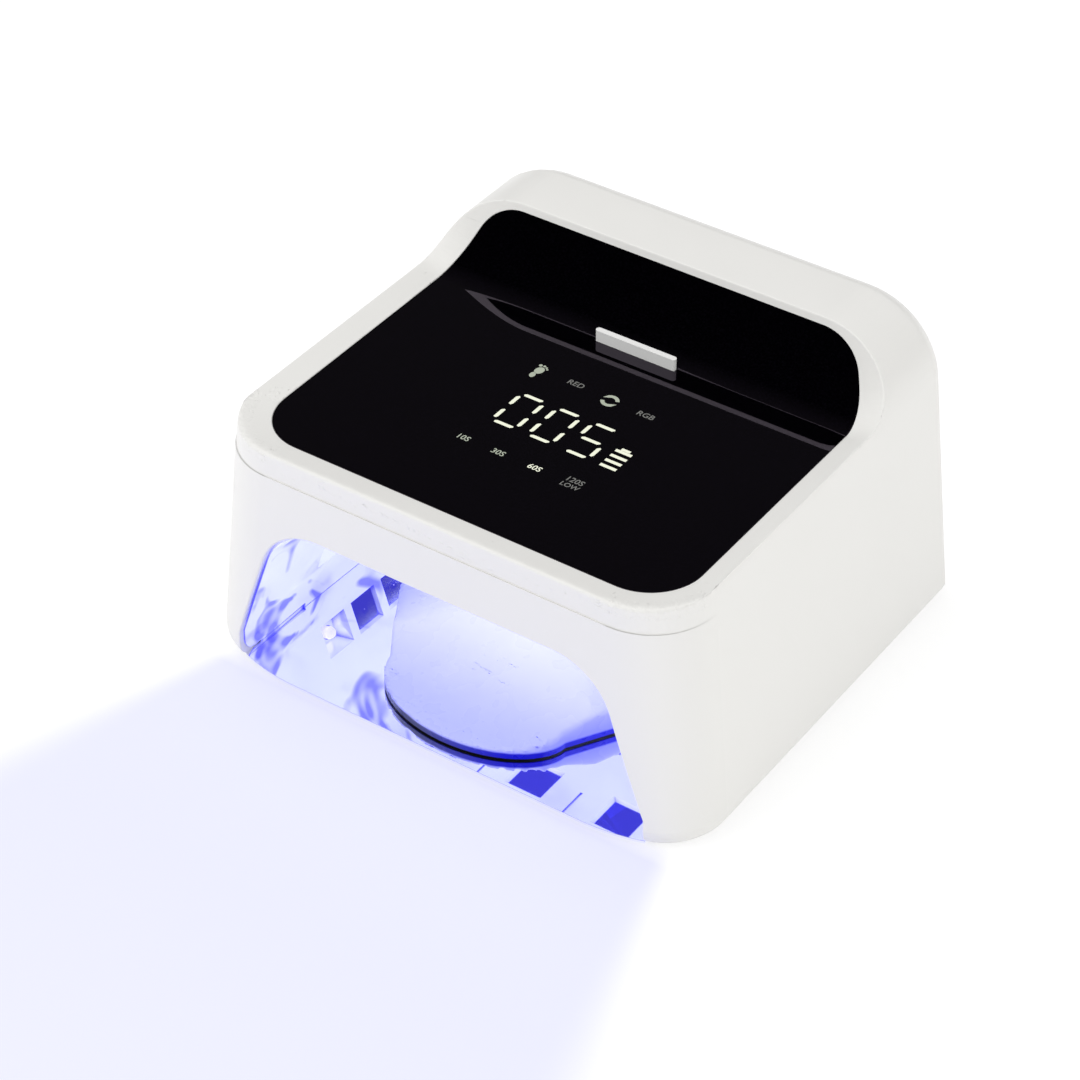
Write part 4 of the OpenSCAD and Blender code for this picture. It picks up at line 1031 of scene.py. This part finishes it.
def ledTree(material):
    part = ledShares
    tree, enter = newTree("leds", Wide=5.4 * mm, Back=1.6 * mm, Front=1.6 * mm, Dome=4.8 * mm)
    wide, back, front, dome = (enter.outputs[k] for k in ("Wide", "Back", "Front", "Dome"))
    both = maths(tree, "ADD", back, front)
    collar = put(tree, "GeometryNodeMeshCylinder", Vertices=part["points"],
                 Radius=scaled(tree, wide, part["collar"]), Depth=both).outputs[0]
    up = maths(tree, "ADD", scaled(tree, both, -0.5), back)
    rim = swept(tree, circle(tree, scaled(tree, wide, part["rim"]), part["points"]),
                circle(tree, scaled(tree, wide, part["bead"]), part["beadPoints"]))
    ball = put(tree, "GeometryNodeMeshUVSphere", Segments=part["ballSegments"], Rings=part["ballRings"],
               Radius=scaled(tree, dome, 0.5)).outputs[0]
    shapes = [lifted(tree, collar, up), lifted(tree, rim, scaled(tree, front, part["beadDown"])),
              lifted(tree, ball, scaled(tree, front, -1.0))]
    return spread(tree, enter, shapes, material)


# a rubber foot with two ground rings and a bevelled edge; the ground is at the origin
footShares = {"points": 40, "sole": 0.43, "slopeHigh": 0.3, "slopeUp": 0.1, "bodyHigh": 0.6, "bodyUp": 0.7,
              "rings": (0.36, 0.20), "ring": 0.12, "ringPoints": 8, "smooth": 40}


def footTree(material):
    part = footShares
    tree, enter = newTree("feet", Wide=7.2 * mm, High=1.8 * mm)
    wide, high = enter.outputs["Wide"], enter.outputs["High"]
    slope = put(tree, "GeometryNodeMeshCone", Vertices=part["points"], Radius_Top=scaled(tree, wide, 0.5),
                Radius_Bottom=scaled(tree, wide, part["sole"]),
                Depth=scaled(tree, high, part["slopeHigh"])).outputs[0]
    body = put(tree, "GeometryNodeMeshCylinder", Vertices=part["points"], Radius=scaled(tree, wide, 0.5),
               Depth=scaled(tree, high, part["bodyHigh"])).outputs[0]
    shapes = [lifted(tree, slope, scaled(tree, high, part["slopeUp"])),
              lifted(tree, body, scaled(tree, high, part["bodyUp"]))]
    for share in part["rings"]:
        ring = swept(tree, circle(tree, scaled(tree, wide, share), part["points"]),
                     circle(tree, scaled(tree, high, part["ring"]), part["ringPoints"]))
        shapes.append(lifted(tree, ring, scaled(tree, high, part["ring"])))
    return spread(tree, enter, shapes, material)


# sets a tree's shape on the spots, (place, direction) each, and turns the result into a plain mesh
def spreadPiece(name, node, tree, spots, sizes, smooth):
    mesh = bpy.data.meshes.new(name)
    mesh.from_pydata([place for place, way in spots], [], [])
    turns = mesh.attributes.new("turn", "FLOAT_VECTOR", "POINT")
    for k, (place, way) in enumerate(spots):
        turns.data[k].vector = Vector((0, 0, 1)).rotation_difference(way).to_euler()
    obj = meshPiece(name, mesh)
    maker = obj.modifiers.new("maker", "NODES")
    maker.node_group = tree
    for item in tree.interface.items_tree:
        if item.in_out == "INPUT" and item.name in sizes:
            maker[item.identifier] = sizes[item.name]
    settle(obj)
    smoothBy(obj, smooth)
    stamp(obj, looks[slotOf[node]])
    standFor(obj, nodes[node]["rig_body"], slotOf[node], node)


# reads each screw's seat, direction and sizes from the CAD solids
def screwsFor(node):
    spots, sizes = [], {}
    for points, middle, way in looseParts(node):
        spans = alongCap(points, middle, way)
        headWide = 2 * max(r for h, r in spans)
        seat = min(h for h, r in spans if r > headWide * screwShares["seat"])
        end = min(h for h, r in spans)
        shaft = 2 * max(r for h, r in spans if h < (seat + end) / 2)
        sizes = {"HeadWide": headWide, "HeadHigh": -seat, "ShaftWide": shaft, "Grip": seat - end,
                 "Turns": (seat - end) / (shaft * screwShares["pitch"])}
        spots.append((middle + way * seat, way))
    spreadPiece("threaded_" + node, node, screws, spots, sizes, screwShares["smooth"])


screws = screwTree(looks["screw_steel"])
for node in ("touch_board_screws", "led_board_screws", "main_board_screws", "holder_screws",
             "io_board_screws", "housing_screws", "rest_screws"):
    screwsFor(node)
print("screws made")

upwards = Vector((0, 0, 1))
spots = []
for points, middle, way in looseParts("touch_springs"):
    low = Vector([min(p[i] for p in points) for i in range(3)])
    high = Vector([max(p[i] for p in points) for i in range(3)])
    spots.append((Vector(((low.x + high.x) / 2, (low.y + high.y) / 2, low.z)), upwards))
spreadPiece("wound_springs", "touch_springs", coilTree(looks["spring_steel"]), spots,
            {"Wide": high.x - low.x, "High": high.z - low.z, "Wire": coilSizes["wire"],
             "Turns": coilSizes["turns"]}, coilSizes["smooth"])

spots = []
for points, middle, way in looseParts("led_chips"):
    spans = alongCap(points, middle, way)
    ledWide = 2 * max(r for h, r in spans)
    low = min(h for h, r in spans)
    spots.append((middle - way * ledSizes["back"], way))
domeWide = 2 * (-low - ledSizes["back"] - ledSizes["front"])
spreadPiece("led_lenses", "led_chips", ledTree(looks["led_lens"]), spots,
            {"Wide": ledWide, "Back": ledSizes["back"], "Front": ledSizes["front"], "Dome": domeWide},
            ledSizes["smooth"])

low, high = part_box("rubber_feet")
spots = []
for points, middle, way in looseParts("rubber_feet"):
    x, y = (sum(p[i] for p in points) / len(points) for i in range(2))
    spots.append((Vector((x, y, low.z)), upwards))
footWide = max(p.x for p in points) - min(p.x for p in points)
spreadPiece("ringed_feet", "rubber_feet", footTree(looks["foot_rubber"]), spots,
            {"Wide": footWide, "High": high.z - low.z}, footShares["smooth"])
print("springs, lenses and feet made")


# the other inner parts are welded copies with small worn edges, in millimetres
edged = {"display_module": 0.3, "touch_board": 0.15, "ceiling_led_board": 0.15, "side_led_boards": 0.15,
         "rear_led_board": 0.15, "hand_sensor": 0.2, "main_board": 0.2, "battery_holder": 0.3,
         "battery_cells": 0.35, "io_board": 0.15, "dc_inlet": 0.25, "power_switch": 0.25,
         "power_button": 0.3, "switch_plunger": 0.15, "base_frame": 0.3, "frame_magnets": 0.2,
         "rest_gasket": 0.2}
innerEdges = {"segments": 2, "angle": 40}
for node, width in edged.items():
    roundedPiece("edged_" + node, node, width * mm, **innerEdges)
print("inner parts made")

# colours as they are
bpy.context.scene.view_settings.view_transform = "Standard"
